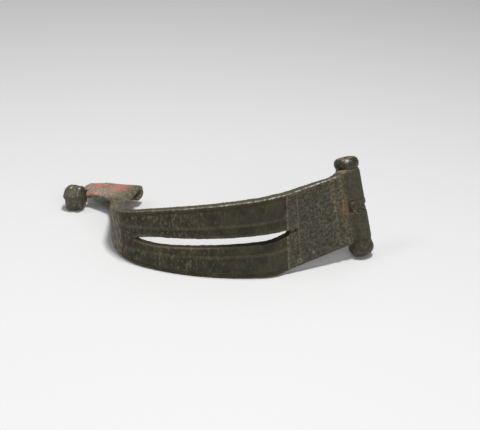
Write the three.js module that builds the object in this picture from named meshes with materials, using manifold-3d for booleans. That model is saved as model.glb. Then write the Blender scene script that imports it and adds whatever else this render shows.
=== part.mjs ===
// A Roman strip-bow brooch (fibula) with a hinged pin, lying on its side as a loose find lies.
//
// The brooch is drawn first in its own frame, in millimetres:
//   x runs from the hinge axis towards the foot, y rises from the line of the pin towards the bow,
//   z runs across the strip. The hinge axis passes through the origin.
// It is then laid down on its lower hinge knob, its foot knob and the lower edge of the bow, with the
// floor at z = 0, the foot towards -x, the crest of the bow towards -y, and the origin below the middle
// of its bounding box.

import * as THREE from 'three';
import { mergeVertices } from 'three/addons/utils/BufferGeometryUtils.js';
import Module from 'manifold-3d';

const wasm = await Module();
wasm.setup();

const { degToRad, smoothstep, lerp, clamp } = THREE.MathUtils;

// ------------------------------------------------------------------ driving dimensions

// Side profile of the bow's outer face: a chain of arcs, each { length, turn in degrees }.
const HEAD_RISE = 57.5;                       // slope of the head plate above the pin line
const OUTER_FACE_OFFSET = 1.65;               // from the hinge axis to the head plate's outer face
const PROFILE_ARCS = [
  { length: 17.8, turn: 0 },                  // flat head plate
  { length: 3.8, turn: -30.5 },               // bend under the cross mouldings
  { length: 23.4, turn: -32.3 },              // long crest of the bow
  { length: 13.8, turn: -62 },                // shoulder above the foot
  { length: 9.6, turn: 9 },                   // neck, running out onto the foot
];
const STRIP_LENGTH = PROFILE_ARCS.reduce((sum, arc) => sum + arc.length, 0);

// Half width and thickness of the strip: [distance from the hinge along the outer face, value].
const HALF_WIDTHS = [
  [0, 6.7], [14, 7.6], [19, 8.2], [30, 7.5], [42, 6.1], [50, 4.7], [57, 3.5], [62.5, 2.3], [68.1, 0.4],
];
const THICKNESSES = [
  [0, 2.7], [4.5, 1.45], [8, 1.35], [46, 1.35], [54, 1.5], [61, 2.0], [68.1, 2.9],
];
const STRIP_ROWS = 44;                        // even steps along the strip, apart from the ribs
const LEAST_ROW_GAP = 0.7;
const CROWN_SHARES = [0.6, 0.97, 1];          // further columns across it, as shares of the half width

// Old bending: the two ends of the strip are turned one way and the bend between them the other.
const TWIST_AT_HINGE = 11.7;
const TWIST_AT_BEND = -8;
const TWIST_AT_FOOT = 4;
const TWIST_BEND_PLACE = 17;
const TWIST_FOOT_PLACE = 60;
const HINGE_SKEW = -2.2;                      // the hinge is set a little out of square in its plate

// Relief of the outer face.
const GROOVE_DEPTH = 0.24;                    // long grooves inside the margins
const MARGIN_GROOVE = 0.87;                   // their places, as shares of the half width
const SLIT_GROOVE = 0.32;
const GROOVE_HALF_SHARE = 0.045;
const EDGE_WEAR = 0.12;                       // rounding of the long edges, outside the last crown share
const EDGE_WEAR_SHARE = 0.99;
const GROOVES_START = 17;                     // the grooves set in quickly at the head and fade at the foot
const GROOVES_FULL = 18;
const GROOVES_FADING = 48;
const GROOVES_END = 54;
const RIBS = [                                // cross ribs of the head
  { place: 3.3, halfWidth: 0.55, height: 0.22 },
  { place: 5.2, halfWidth: 0.45, height: 0.26 },
  { place: 13.7, halfWidth: 0.35, height: 0.22 },
  { place: 16.1, halfWidth: 0.35, height: 0.26 },
];

// Slit along the middle of the bow.
const SLIT_START = 13.9;                      // a fine point between the two cross mouldings
const SLIT_END = 47.3;
const SLIT_HALF_WIDTH = 0.95;
const SLIT_OFFSET = -0.15;                    // it runs a little below the middle of the strip
const SLIT_HEAD_TAPER = 11;                   // lengths over which it narrows to its ends
const SLIT_FOOT_TAPER = 7;
const SLIT_POINT = 0.05;                      // half width left at the very ends
const SLIT_FULLNESS = 0.8;                    // power of the taper: under 1 keeps the slit full for longer
const SLIT_ROWS = 30;

// Hinge.
const TUBE_RADIUS = 2.3;
const TUBE_HALF_LENGTH = 6.8;
const TUBE_SIDES = 28;
const BORE_RADIUS = 1.02;
const BORE_SIDES = 20;
const PIN_SLOT_WIDTH = 2;
const PIN_SLOT_TOP = 2.1;                     // how far the slot cuts up above the hinge axis
const AXIS_BAR_RADIUS = 0.85;
const FIT_GAP = 0.1;                          // left between pieces that touch
const UPPER_KNOB = { length: 2.35, radius: 2.38, neckRadius: 1.55, neckLength: 0.45, endRadius: 1.75 };
const DISH_RADIUS = 1.4;                      // hollow in the upper knob's end, round the bar
const DISH_DEPTH = 0.2;
const LOWER_KNOB = { length: 2.9, radius: 2.4, neckRadius: 2, neckLength: 0.35, endRadius: 0.95 };
const KNOB_END_CROWN = 0.1;
const BLIND_HOLE_DEPTH = 1.9;                 // for the bar, in the lower knob
const PIN_HEAD_RADIUS = 2;
const PIN_HEAD_EDGE = 0.15;                   // rounding of the corroded ring

// Foot and catch plate, in the middle plane of the brooch.
const PLATE_TOP = 0.5;
const PLATE_THICKNESS = 0.85;
const HOOK_START = 45.9;                      // open end of the hook, below the neck
const HOOK_END = 53.6;
const HOOK_CENTRE_Y = -0.9;
const HOOK_OUTER_RADIUS = 1.4;
const HOOK_INNER_RADIUS = 0.62;
const HOOK_LIP_LENGTH = 1.1;
const HOOK_ROOT_Y = 1;                        // how far the hook's upper side runs into the plate
const FOOT_END = 55.3;                        // where the foot knob is let onto the foot
const FOOT_AXIS_Y = 5.3;
const PLATE_OUTLINE = [                       // [x, y], round from the hook's open end
  [HOOK_START, HOOK_CENTRE_Y], [HOOK_END, -1.6], [57, -0.7], [57.4, 0.7], [56.9, 2],
  [FOOT_END, 2.6], [FOOT_END, 4], [47.5, 6], [45.2, 6.5], [45.4, 3],
];
const FOOT_BAR_ROUTE = [                      // [x, y], from inside the neck to the foot knob
  [46, 9.2], [47.1, 6.6], [49.3, 4.4], [52.2, 3.2], [FOOT_END, 3.6],
];
const FOOT_BAR_HALF_DEPTHS = [[0, 0.8], [0.3, 1.2], [0.7, 0.9], [1, 0.95]];
const FOOT_BAR_HALF_THICKNESSES = [[0, 1.1], [1, 0.8]];
const FOOT_BAR_ROWS = 12;
const FOOT_BAR_CORNER = 0.75;                 // how far out its corners reach, so that it is eight-sided
const FOOT_KNOB = { length: 3.65, radius: 2.4, collarLength: 0.95, collarRadius: 2.05, endRadius: 1.75 };
const FOOT_KNOB_RISE = 4;                     // degrees that the foot's end turns up

// ------------------------------------------------------------------ materials

const material = (color, roughness, metalness) =>
  new THREE.MeshStandardMaterial({ color, roughness, metalness });
const patina = material(0x4a4838, 0.62, 0.35);
const knobPatina = material(0x4f4d3f, 0.58, 0.35);
const rustedIron = material(0x5b4030, 0.85, 0.2);

// ------------------------------------------------------------------ curves and sections

// A smooth curve of values through [place, value] stations, level at both ends.
function throughStations(stations, place) {
  const last = stations.length - 1;
  if (place <= stations[0][0]) return stations[0][1];
  if (place >= stations[last][0]) return stations[last][1];
  const slope = (i) => (i <= 0 || i >= last) ? 0
    : (stations[i + 1][1] - stations[i - 1][1]) / (stations[i + 1][0] - stations[i - 1][0]);
  const k = stations.findIndex(([at]) => at > place) - 1;
  const [x0, y0] = stations[k];
  const [x1, y1] = stations[k + 1];
  const span = x1 - x0;
  const t = (place - x0) / span;
  return y0 * (1 + 2 * t) * (1 - t) ** 2 + y1 * t * t * (3 - 2 * t)
    + slope(k) * span * t * (1 - t) ** 2 - slope(k + 1) * span * t * t * (1 - t);
}

// Point and heading of the outer face at a distance from the hinge, in the brooch's side view.
function profileAt(distance) {
  let heading = degToRad(HEAD_RISE);
  let x = -Math.sin(heading) * OUTER_FACE_OFFSET;
  let y = Math.cos(heading) * OUTER_FACE_OFFSET;
  let left = distance;
  for (const arc of PROFILE_ARCS) {
    const run = Math.min(left, arc.length);
    const turn = degToRad(arc.turn) * run / arc.length;
    const chord = turn === 0 ? run : run * Math.sin(turn / 2) / (turn / 2);
    x += chord * Math.cos(heading + turn / 2);
    y += chord * Math.sin(heading + turn / 2);
    heading += turn;
    left -= run;
    if (left <= 0) break;
  }
  return { x, y, heading };
}

// Angle by which the cross direction leans away from the outer face.
function twistAt(distance) {
  const angle = distance < TWIST_BEND_PLACE
    ? lerp(TWIST_AT_HINGE, TWIST_AT_BEND, Math.max(0, distance) / TWIST_BEND_PLACE)
    : lerp(TWIST_AT_BEND, TWIST_AT_FOOT, smoothstep(distance, TWIST_BEND_PLACE, TWIST_FOOT_PLACE));
  return degToRad(angle);
}

// Middle of the outer face at a distance from the hinge, with the directions out of the face and
// across it. The strip is twisted about a line as far below its outer face as the hinge axis is.
function sectionAt(distance) {
  const { x, y, heading } = profileAt(distance);
  const along = new THREE.Vector3(Math.cos(heading), Math.sin(heading), 0);
  const outward = new THREE.Vector3(-along.y, along.x, 0);
  const origin = new THREE.Vector3(x, y, 0).addScaledVector(outward, -OUTER_FACE_OFFSET);
  outward.applyAxisAngle(along, twistAt(distance));
  origin.addScaledVector(outward, OUTER_FACE_OFFSET);
  const skew = degToRad(HINGE_SKEW) * Math.max(0, 1 - distance / PROFILE_ARCS[0].length);
  const across = along.clone().cross(outward).applyAxisAngle(outward, skew);
  return { origin, outward, across };
}

function stripPoint(distance, across, height) {
  const section = sectionAt(distance);
  return section.origin.addScaledVector(section.across, across).addScaledVector(section.outward, height);
}

const bump = (offset, halfWidth) => Math.max(0, 1 - Math.abs(offset) / halfWidth);

// Height of the outer face above its plain surface; share is the place across, from -1 to 1.
function relief(distance, share) {
  const side = Math.abs(share);
  const setIn = smoothstep(distance, GROOVES_START, GROOVES_FULL);
  const depth = GROOVE_DEPTH * setIn * (1 - smoothstep(distance, GROOVES_FADING, GROOVES_END));
  const grooves = bump(side - MARGIN_GROOVE, GROOVE_HALF_SHARE) + bump(side - SLIT_GROOVE, GROOVE_HALF_SHARE);
  const ribs = RIBS.reduce((sum, rib) => sum + rib.height * bump(distance - rib.place, rib.halfWidth), 0);
  const wear = side > EDGE_WEAR_SHARE ? EDGE_WEAR : 0;
  return ribs - depth * grooves - wear;
}

// Half width of the slit, narrowing over its own length to either end.
function slitHalfWidth(distance) {
  const taper = (run, length) => Math.sin(Math.PI / 2 * clamp(run / length, 0, 1)) ** SLIT_FULLNESS;
  const atHead = taper(distance - SLIT_START, SLIT_HEAD_TAPER);
  const atFoot = taper(SLIT_END - distance, SLIT_FOOT_TAPER);
  return Math.max(SLIT_POINT, SLIT_HALF_WIDTH * atHead * atFoot);
}

// ------------------------------------------------------------------ closed meshes and booleans

function toSolid(geometry) {
  const bare = geometry.clone();
  bare.deleteAttribute('normal');
  bare.deleteAttribute('uv');
  const merged = mergeVertices(bare, 1e-4);
  return new wasm.Manifold(new wasm.Mesh({
    numProp: 3,
    vertProperties: new Float32Array(merged.attributes.position.array),
    triVerts: new Uint32Array(merged.index.array),
  }));
}

function toGeometry(solid) {
  const mesh = solid.getMesh();
  const geometry = new THREE.BufferGeometry();
  geometry.setAttribute('position', new THREE.BufferAttribute(new Float32Array(mesh.vertProperties), 3));
  geometry.setIndex(new THREE.BufferAttribute(new Uint32Array(mesh.triVerts), 1));
  geometry.computeVertexNormals();
  return geometry;
}

// A box whose length, width and height follow the strip: rows are distances along it,
// columns are shares of the half width, and the two faces are given by heightAt. The middle of the
// columns may be shifted across the strip.
function stripSolid(rows, columns, halfWidthAt, heightAt, shift = 0) {
  const box = new THREE.BoxGeometry(1, 1, 1, rows.length - 1, columns.length - 1, 1);
  const position = box.attributes.position;
  for (let i = 0; i < position.count; i++) {
    const distance = rows[Math.round((position.getX(i) + 0.5) * (rows.length - 1))];
    const share = columns[Math.round((position.getY(i) + 0.5) * (columns.length - 1))];
    const height = heightAt(distance, share, position.getZ(i) > 0);
    const point = stripPoint(distance, shift + share * halfWidthAt(distance), height);
    position.setXYZ(i, point.x, point.y, point.z);
  }
  // In the strip's frame (along, across, outward) is left-handed, so the faces are turned round.
  const index = box.index.array;
  for (let i = 0; i < index.length; i += 3) [index[i], index[i + 1]] = [index[i + 1], index[i]];
  return toSolid(box);
}

// Even steps from start to end, with the extra places put in and the steps too near them dropped.
function steps(start, end, count, extra = [], closest = 0) {
  const places = Array.from({ length: count + 1 }, (_, i) => lerp(start, end, i / count));
  const isFree = (place) => extra.every((other) => Math.abs(place - other) > closest);
  const plain = places.filter((place, i) => i === 0 || i === count || isFree(place));
  return [...plain, ...extra].sort((a, b) => a - b);
}

// An outline in the brooch's side view, given thickness across the strip.
function sideExtrusion(shape, bottom, top) {
  const geometry = new THREE.ExtrudeGeometry(shape, { depth: top - bottom, bevelEnabled: false });
  geometry.translate(0, 0, bottom);
  return toSolid(geometry);
}

// ------------------------------------------------------------------ the one-piece body

function buildStrip() {
  const ribRows = RIBS.flatMap(({ place, halfWidth }) => [place - halfWidth, place, place + halfWidth]);
  const rows = steps(0, STRIP_LENGTH, STRIP_ROWS, ribRows, LEAST_ROW_GAP);
  const grooveShares = [SLIT_GROOVE, MARGIN_GROOVE].flatMap((share) =>
    [share - GROOVE_HALF_SHARE, share, share + GROOVE_HALF_SHARE]);
  const right = [0, ...grooveShares, ...CROWN_SHARES].sort((a, b) => a - b);
  const columns = [...right.slice(1).map((share) => -share).reverse(), ...right];
  const halfWidth = (distance) => throughStations(HALF_WIDTHS, distance);
  return stripSolid(rows, columns, halfWidth, (distance, share, outer) =>
    outer ? relief(distance, share) : -throughStations(THICKNESSES, distance));
}

function buildSlitCutter() {
  const rows = steps(SLIT_START, SLIT_END, SLIT_ROWS);
  const reach = 1;
  const heightAt = (distance, share, outer) =>
    outer ? reach : -throughStations(THICKNESSES, distance) - reach;
  return stripSolid(rows, [-1, 1], slitHalfWidth, heightAt, SLIT_OFFSET);
}

// The turn that sets a piece made along +y along the hinge axis, with +z up the head plate.
function turnToHinge() {
  const { outward, across } = sectionAt(0);
  const upThePlate = outward.clone().cross(across);
  const axes = new THREE.Matrix4().makeBasis(outward, across, upThePlate);
  return new THREE.Quaternion().setFromRotationMatrix(axes);
}

const hingeTurn = turnToHinge();

function hingeCylinder(radius, length, sides) {
  return toSolid(new THREE.CylinderGeometry(radius, radius, length, sides).applyQuaternion(hingeTurn));
}

const buildTube = () => hingeCylinder(TUBE_RADIUS, 2 * TUBE_HALF_LENGTH, TUBE_SIDES);
const buildBoreCutter = () => hingeCylinder(BORE_RADIUS, 3 * TUBE_HALF_LENGTH, BORE_SIDES);

// The slot for the pin's head is open below and on both faces of the tube.
function buildPinSlotCutter() {
  const reach = 4 * TUBE_RADIUS;
  const slot = new THREE.BoxGeometry(reach, PIN_SLOT_WIDTH, reach);
  slot.translate(0, 0, PIN_SLOT_TOP - reach / 2);
  return toSolid(slot.applyQuaternion(hingeTurn));
}

function buildCatchPlate() {
  const outline = new THREE.Shape(PLATE_OUTLINE.map(([x, y]) => new THREE.Vector2(x, y)));
  return sideExtrusion(outline, PLATE_TOP - PLATE_THICKNESS, PLATE_TOP);
}

// The rolled-over lower edge of the catch plate: a hook, open at both ends and towards the bow.
function buildHook() {
  const centre = PLATE_TOP - HOOK_OUTER_RADIUS;
  const lipEnd = HOOK_CENTRE_Y + HOOK_LIP_LENGTH;
  const [bottom, top] = [1.5 * Math.PI, 0.5 * Math.PI];
  const section = new THREE.Shape();
  section.moveTo(HOOK_ROOT_Y, PLATE_TOP);
  section.lineTo(HOOK_CENTRE_Y, PLATE_TOP);
  section.absarc(HOOK_CENTRE_Y, centre, HOOK_OUTER_RADIUS, top, bottom, false);
  section.lineTo(lipEnd, centre - HOOK_OUTER_RADIUS);
  section.lineTo(lipEnd, centre - HOOK_INNER_RADIUS);
  section.absarc(HOOK_CENTRE_Y, centre, HOOK_INNER_RADIUS, bottom, top, true);
  section.lineTo(HOOK_ROOT_Y, centre + HOOK_INNER_RADIUS);
  section.closePath();
  const depth = HOOK_END - HOOK_START;
  const geometry = new THREE.ExtrudeGeometry(section, { depth, bevelEnabled: false, curveSegments: 10 });
  // The section was drawn in y and z and extruded along x: the axes are named in turn.
  geometry.rotateY(Math.PI / 2).rotateX(Math.PI / 2);
  geometry.translate(HOOK_START, 0, 0);
  return toSolid(geometry);
}

// The bar that leaves the neck, thins and ends square against the foot knob.
function buildFootBar() {
  const route = new THREE.CatmullRomCurve3(FOOT_BAR_ROUTE.map(([x, y]) => new THREE.Vector3(x, y, 0)));
  const box = new THREE.BoxGeometry(1, 2, 2, FOOT_BAR_ROWS, 2, 2);
  const position = box.attributes.position;
  for (let i = 0; i < position.count; i++) {
    const t = Math.round((position.getX(i) + 0.5) * FOOT_BAR_ROWS) / FOOT_BAR_ROWS;
    const middle = route.getPointAt(t);
    const tangent = t === 1 ? new THREE.Vector3(1, 0, 0) : route.getTangentAt(t);
    const side = new THREE.Vector3(-tangent.y, tangent.x, 0);
    const isCorner = position.getY(i) !== 0 && position.getZ(i) !== 0;
    const corner = isCorner ? FOOT_BAR_CORNER : 1;
    const depth = throughStations(FOOT_BAR_HALF_DEPTHS, t) * corner;
    const thickness = throughStations(FOOT_BAR_HALF_THICKNESSES, t) * corner;
    middle.addScaledVector(side, position.getY(i) * depth);
    position.setXYZ(i, middle.x, middle.y, position.getZ(i) * thickness);
  }
  return toSolid(box);
}

function buildBody() {
  const solid = buildStrip()
    .add(buildTube())
    .add(buildFootBar())
    .add(buildCatchPlate())
    .add(buildHook())
    .subtract(buildSlitCutter())
    .subtract(buildBoreCutter())
    .subtract(buildPinSlotCutter());
  return toGeometry(solid);
}

// ------------------------------------------------------------------ hinge pieces and foot knob

// A piece turned about +y from an outline of [radius, height] points.
function turnedPiece(outline, sides = 24) {
  const points = outline.map(([radius, height]) => new THREE.Vector2(radius, height));
  return toGeometry(toSolid(new THREE.LatheGeometry(points, sides)));
}

// Round bulge between two end radii, as [radius, height] points.
function bulge(startRadius, endRadius, fullRadius, from, to, count) {
  const roundness = 0.7;
  return Array.from({ length: count + 1 }, (_, i) => {
    const t = i / count;
    const base = lerp(startRadius, endRadius, t);
    return [base + (fullRadius - base) * Math.sin(Math.PI * t) ** roundness, lerp(from, to, t)];
  });
}

// Neck and bead of a hinge knob, from its seat on the tube.
function neckAndBead({ length, radius, neckRadius, neckLength, endRadius }, count) {
  const shoulder = 0.12;
  return [
    [neckRadius, 0], [neckRadius, neckLength - shoulder],
    ...bulge(neckRadius + shoulder, endRadius, radius, neckLength, length, count),
  ];
}

const HOLE_RADIUS = AXIS_BAR_RADIUS + FIT_GAP;

// Bead with a narrow neck and a dished end, pierced for the axis bar, which shows in the dish.
function buildUpperKnob() {
  const { length } = UPPER_KNOB;
  return turnedPiece([
    [HOLE_RADIUS, 0], ...neckAndBead(UPPER_KNOB, 7),
    [DISH_RADIUS, length - DISH_DEPTH / 2], [HOLE_RADIUS, length - DISH_DEPTH], [HOLE_RADIUS, 0],
  ]);
}

// Closed, round-ended bead with a blind hole for the other end of the bar.
function buildLowerKnob() {
  return turnedPiece([
    [0, BLIND_HOLE_DEPTH], [HOLE_RADIUS, BLIND_HOLE_DEPTH], [HOLE_RADIUS, 0],
    ...neckAndBead(LOWER_KNOB, 9), [0, LOWER_KNOB.length + KNOB_END_CROWN],
  ]);
}

// The bar runs through the bore from the blind hole to the dished end of the upper knob.
function buildAxisBar() {
  const seat = TUBE_HALF_LENGTH + FIT_GAP;
  const bottom = -(seat + BLIND_HOLE_DEPTH - 2 * FIT_GAP);
  const top = seat + UPPER_KNOB.length - FIT_GAP;
  const worn = 0.7 * AXIS_BAR_RADIUS;
  return turnedPiece([
    [0, bottom], [AXIS_BAR_RADIUS, bottom], [AXIS_BAR_RADIUS, top - 0.15], [worn, top], [0, top],
  ], 16);
}

// What is left of the pin's coiled head: a corroded ring round the axis bar, inside the pin slot.
function buildPinHead() {
  const half = PIN_SLOT_WIDTH / 2 - FIT_GAP;
  const side = PIN_HEAD_RADIUS - PIN_HEAD_EDGE;
  return turnedPiece([
    [HOLE_RADIUS, -half], [side, -half], [PIN_HEAD_RADIUS, -half / 2],
    [PIN_HEAD_RADIUS, half / 2], [side, half], [HOLE_RADIUS, half], [HOLE_RADIUS, -half],
  ], 18);
}

// Barrel with a low collar where it meets the foot, and a flattened end.
function buildFootKnob() {
  const { length, radius, collarLength, collarRadius, endRadius } = FOOT_KNOB;
  const rounding = 0.25;
  return turnedPiece([
    [0, 0], [collarRadius - 0.05, 0], [collarRadius + 0.1, 0.35], [collarRadius, 0.75],
    ...bulge(collarRadius, endRadius, radius, collarLength, length - rounding, 6),
    [endRadius - 2 * rounding, length], [0, length],
  ]);
}

// ------------------------------------------------------------------ the brooch, and how it lies

function piece(name, geometry, finish) {
  const mesh = new THREE.Mesh(geometry, finish);
  mesh.name = name;
  return mesh;
}

const brooch = new THREE.Group();
const body = piece('brooch_body', buildBody(), patina);
brooch.add(body);

const hinge = new THREE.Group();
hinge.quaternion.copy(hingeTurn);
const knobSeat = TUBE_HALF_LENGTH + FIT_GAP;

const upperKnob = piece('hinge_knob_upper', buildUpperKnob(), knobPatina);
upperKnob.position.y = knobSeat;
const lowerKnob = piece('hinge_knob_lower', buildLowerKnob(), knobPatina);
lowerKnob.position.y = -knobSeat;
lowerKnob.rotation.x = Math.PI;
const axisBar = piece('hinge_axis_bar', buildAxisBar(), rustedIron);
const pinHead = piece('pin_head_remains', buildPinHead(), rustedIron);
hinge.add(upperKnob, lowerKnob, axisBar, pinHead);
brooch.add(hinge);

const footKnob = piece('foot_knob', buildFootKnob(), knobPatina);
footKnob.position.set(FOOT_END + FIT_GAP, FOOT_AXIS_Y, 0);
footKnob.rotation.z = degToRad(FOOT_KNOB_RISE - 90);
brooch.add(footKnob);

function pointsOf(mesh) {
  const position = mesh.geometry.attributes.position;
  return Array.from({ length: position.count }, (_, i) =>
    new THREE.Vector3().fromBufferAttribute(position, i).applyMatrix4(mesh.matrixWorld));
}

const lowestPoint = (points, up) => points.reduce((low, point) => point.dot(up) < low.dot(up) ? point : low);

// Direction that points up when the three feet stand on one plane, found by tipping the plane
// until it touches the lowest point of each.
function standingUp(feet) {
  let up = new THREE.Vector3(0, 0, 1);
  for (let pass = 0; pass < 8; pass++) {
    const [a, b, c] = feet.map((points) => lowestPoint(points, up));
    up = b.clone().sub(a).cross(c.clone().sub(a)).normalize();
    if (up.z < 0) up.negate();
  }
  return up;
}

// Turns and moves the brooch so that it lies on its feet, centred over the origin.
function layDown(group) {
  group.updateMatrixWorld(true);
  const meshes = [body, upperKnob, lowerKnob, axisBar, pinHead, footKnob];
  const bow = pointsOf(body).filter((point) => point.y > PROFILE_ARCS[0].length / 2);
  const up = standingUp([pointsOf(lowerKnob), pointsOf(footKnob), bow]);
  const right = new THREE.Vector3(-1, 0, 0).addScaledVector(up, up.x).normalize();
  const back = up.clone().cross(right);
  const turn = new THREE.Matrix4().makeBasis(right, back, up).transpose();
  group.quaternion.setFromRotationMatrix(turn);
  group.updateMatrixWorld(true);
  const box = new THREE.Box3();
  meshes.forEach((mesh) => pointsOf(mesh).forEach((point) => box.expandByPoint(point)));
  group.position.set(-(box.min.x + box.max.x) / 2, -(box.min.y + box.max.y) / 2, -box.min.z);
}

layDown(brooch);

const fibula = new THREE.Group();
fibula.add(brooch);

export default fibula;
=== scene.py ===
"""Visual model of a Roman strip-bow brooch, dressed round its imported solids.

The brooch lies on its side on a pale floor. Sizes are in millimetres of the brooch's own frame, in
which x runs from the hinge axis towards the foot, y from the line of the pin towards the bow and z
across the strip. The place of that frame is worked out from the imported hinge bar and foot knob.
"""

import logging
import math
from dataclasses import dataclass, field
from enum import Enum
from functools import cached_property

import bmesh
import bpy
import numpy as np
from mathutils import Matrix, Vector, noise


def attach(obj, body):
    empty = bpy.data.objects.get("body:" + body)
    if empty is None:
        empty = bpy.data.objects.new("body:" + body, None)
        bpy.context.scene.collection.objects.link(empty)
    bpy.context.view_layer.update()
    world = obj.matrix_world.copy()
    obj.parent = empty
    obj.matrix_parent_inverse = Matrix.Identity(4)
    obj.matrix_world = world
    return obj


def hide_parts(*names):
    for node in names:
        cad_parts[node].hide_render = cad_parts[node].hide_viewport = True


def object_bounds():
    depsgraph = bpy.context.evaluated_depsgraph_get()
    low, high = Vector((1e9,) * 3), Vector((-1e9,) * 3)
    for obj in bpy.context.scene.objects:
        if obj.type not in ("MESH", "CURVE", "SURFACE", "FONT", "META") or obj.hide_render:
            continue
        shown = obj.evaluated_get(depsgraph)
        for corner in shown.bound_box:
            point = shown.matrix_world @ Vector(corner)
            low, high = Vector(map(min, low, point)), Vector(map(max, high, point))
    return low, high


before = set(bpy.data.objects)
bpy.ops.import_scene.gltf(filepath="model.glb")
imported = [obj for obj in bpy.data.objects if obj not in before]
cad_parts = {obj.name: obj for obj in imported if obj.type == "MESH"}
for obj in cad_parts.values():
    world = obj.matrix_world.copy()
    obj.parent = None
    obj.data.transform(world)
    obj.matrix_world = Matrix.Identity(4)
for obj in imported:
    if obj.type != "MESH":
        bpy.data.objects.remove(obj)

cad_low, cad_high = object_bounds()

log = logging.getLogger("brooch")
logging.basicConfig(level=logging.INFO, format="%(message)s")

MM = 0.001
BODY = "root"

# A stored distance past the reach of every worn line.
PAST_LINES = 1.0

Array = np.ndarray
Masks = dict[str, Array]
Span = tuple[float, float]
Outline = list[tuple[float, float]]
Piece = bpy.types.Object
Material = bpy.types.Material
Socket = bpy.types.NodeSocket


class Slot(Enum):
    """The record's material slots, passed along with the pieces; nothing reads them."""

    BOW = "bow_patina"
    KNOB = "knob_patina"
    IRON = "rusted_iron"


# Small numeric helpers


def smoothstep(value: Array, start: float, end: float) -> Array:
    """Rise smoothly from 0 at start to 1 at end, or fall where the end lies below the start."""
    t = np.clip((value - start) / (end - start), 0.0, 1.0)
    return t * t * (3.0 - 2.0 * t)


def between(value: Array, rise: Span, fall: Span) -> Array:
    """Rise smoothly over the first span and fall over the second."""
    return smoothstep(value, *rise) * smoothstep(value, *fall)


def ridge(offset: Array, half_width: float) -> Array:
    """Return a rounded ridge of height 1 at offset 0 that ends at the half width."""
    return smoothstep(np.abs(offset), half_width, 0.0)


def spot(x: Array, y: Array, centre: tuple[float, float], radii: tuple[float, float]) -> Array:
    """Return a soft oval spot of height 1 at its centre that reaches out to the radii."""
    far = np.hypot((x - centre[0]) / radii[0], (y - centre[1]) / radii[1])
    return smoothstep(far, 1.0, 0.25)


def lumps(points: Array, size: float, seed: float = 0.0, octaves: int = 3) -> Array:
    """Sample smooth three-dimensional noise.

    Args:
        points: Positions in millimetres, one row each.
        size: Size of the largest lumps in millimetres.
        seed: Shift that picks another part of the noise.
        octaves: Number of finer layers that are added.

    Returns:
        Values of about -1 to 1, one for each point.
    """
    gain = 1.6
    shift = Vector((seed, seed * 1.7, -seed))
    total = np.zeros(len(points))
    reach = 0.0
    for octave in range(octaves):
        scale = 2.0**octave / size
        share = 0.5**octave
        total += share * np.array([noise.noise(Vector(p) * scale + shift) for p in points])
        reach += share
    return total / reach * gain


# The brooch's own frame


@dataclass(frozen=True)
class BroochFrame:
    """The brooch's own frame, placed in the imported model's frame.

    Attributes:
        origin: Middle of the hinge, in metres.
        axes: Directions of the brooch's x, y and z, one in each column.
    """

    origin: Array
    axes: Array

    def to_brooch(self, points: Array) -> Array:
        """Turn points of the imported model, in metres, into the brooch's millimetres."""
        return (points - self.origin) @ self.axes / MM

    def to_model(self, points: Array) -> Array:
        """Turn points in the brooch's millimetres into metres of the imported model."""
        return points @ self.axes.T * MM + self.origin

    def turn(self, directions: Array) -> Array:
        """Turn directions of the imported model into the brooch's frame."""
        return directions @ self.axes

    def matrix(self) -> Matrix:
        """Make the matrix that takes the brooch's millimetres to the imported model.

        Returns:
            The matrix.
        """
        whole = np.eye(4)
        whole[:3, :3] = self.axes * MM
        whole[:3, 3] = self.origin
        return Matrix(whole.tolist())


def node_points(node: str) -> Array:
    """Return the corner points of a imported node, in metres."""
    return np.unique(positions(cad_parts[node]).round(8), axis=0)


# The strip of the bow


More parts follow.
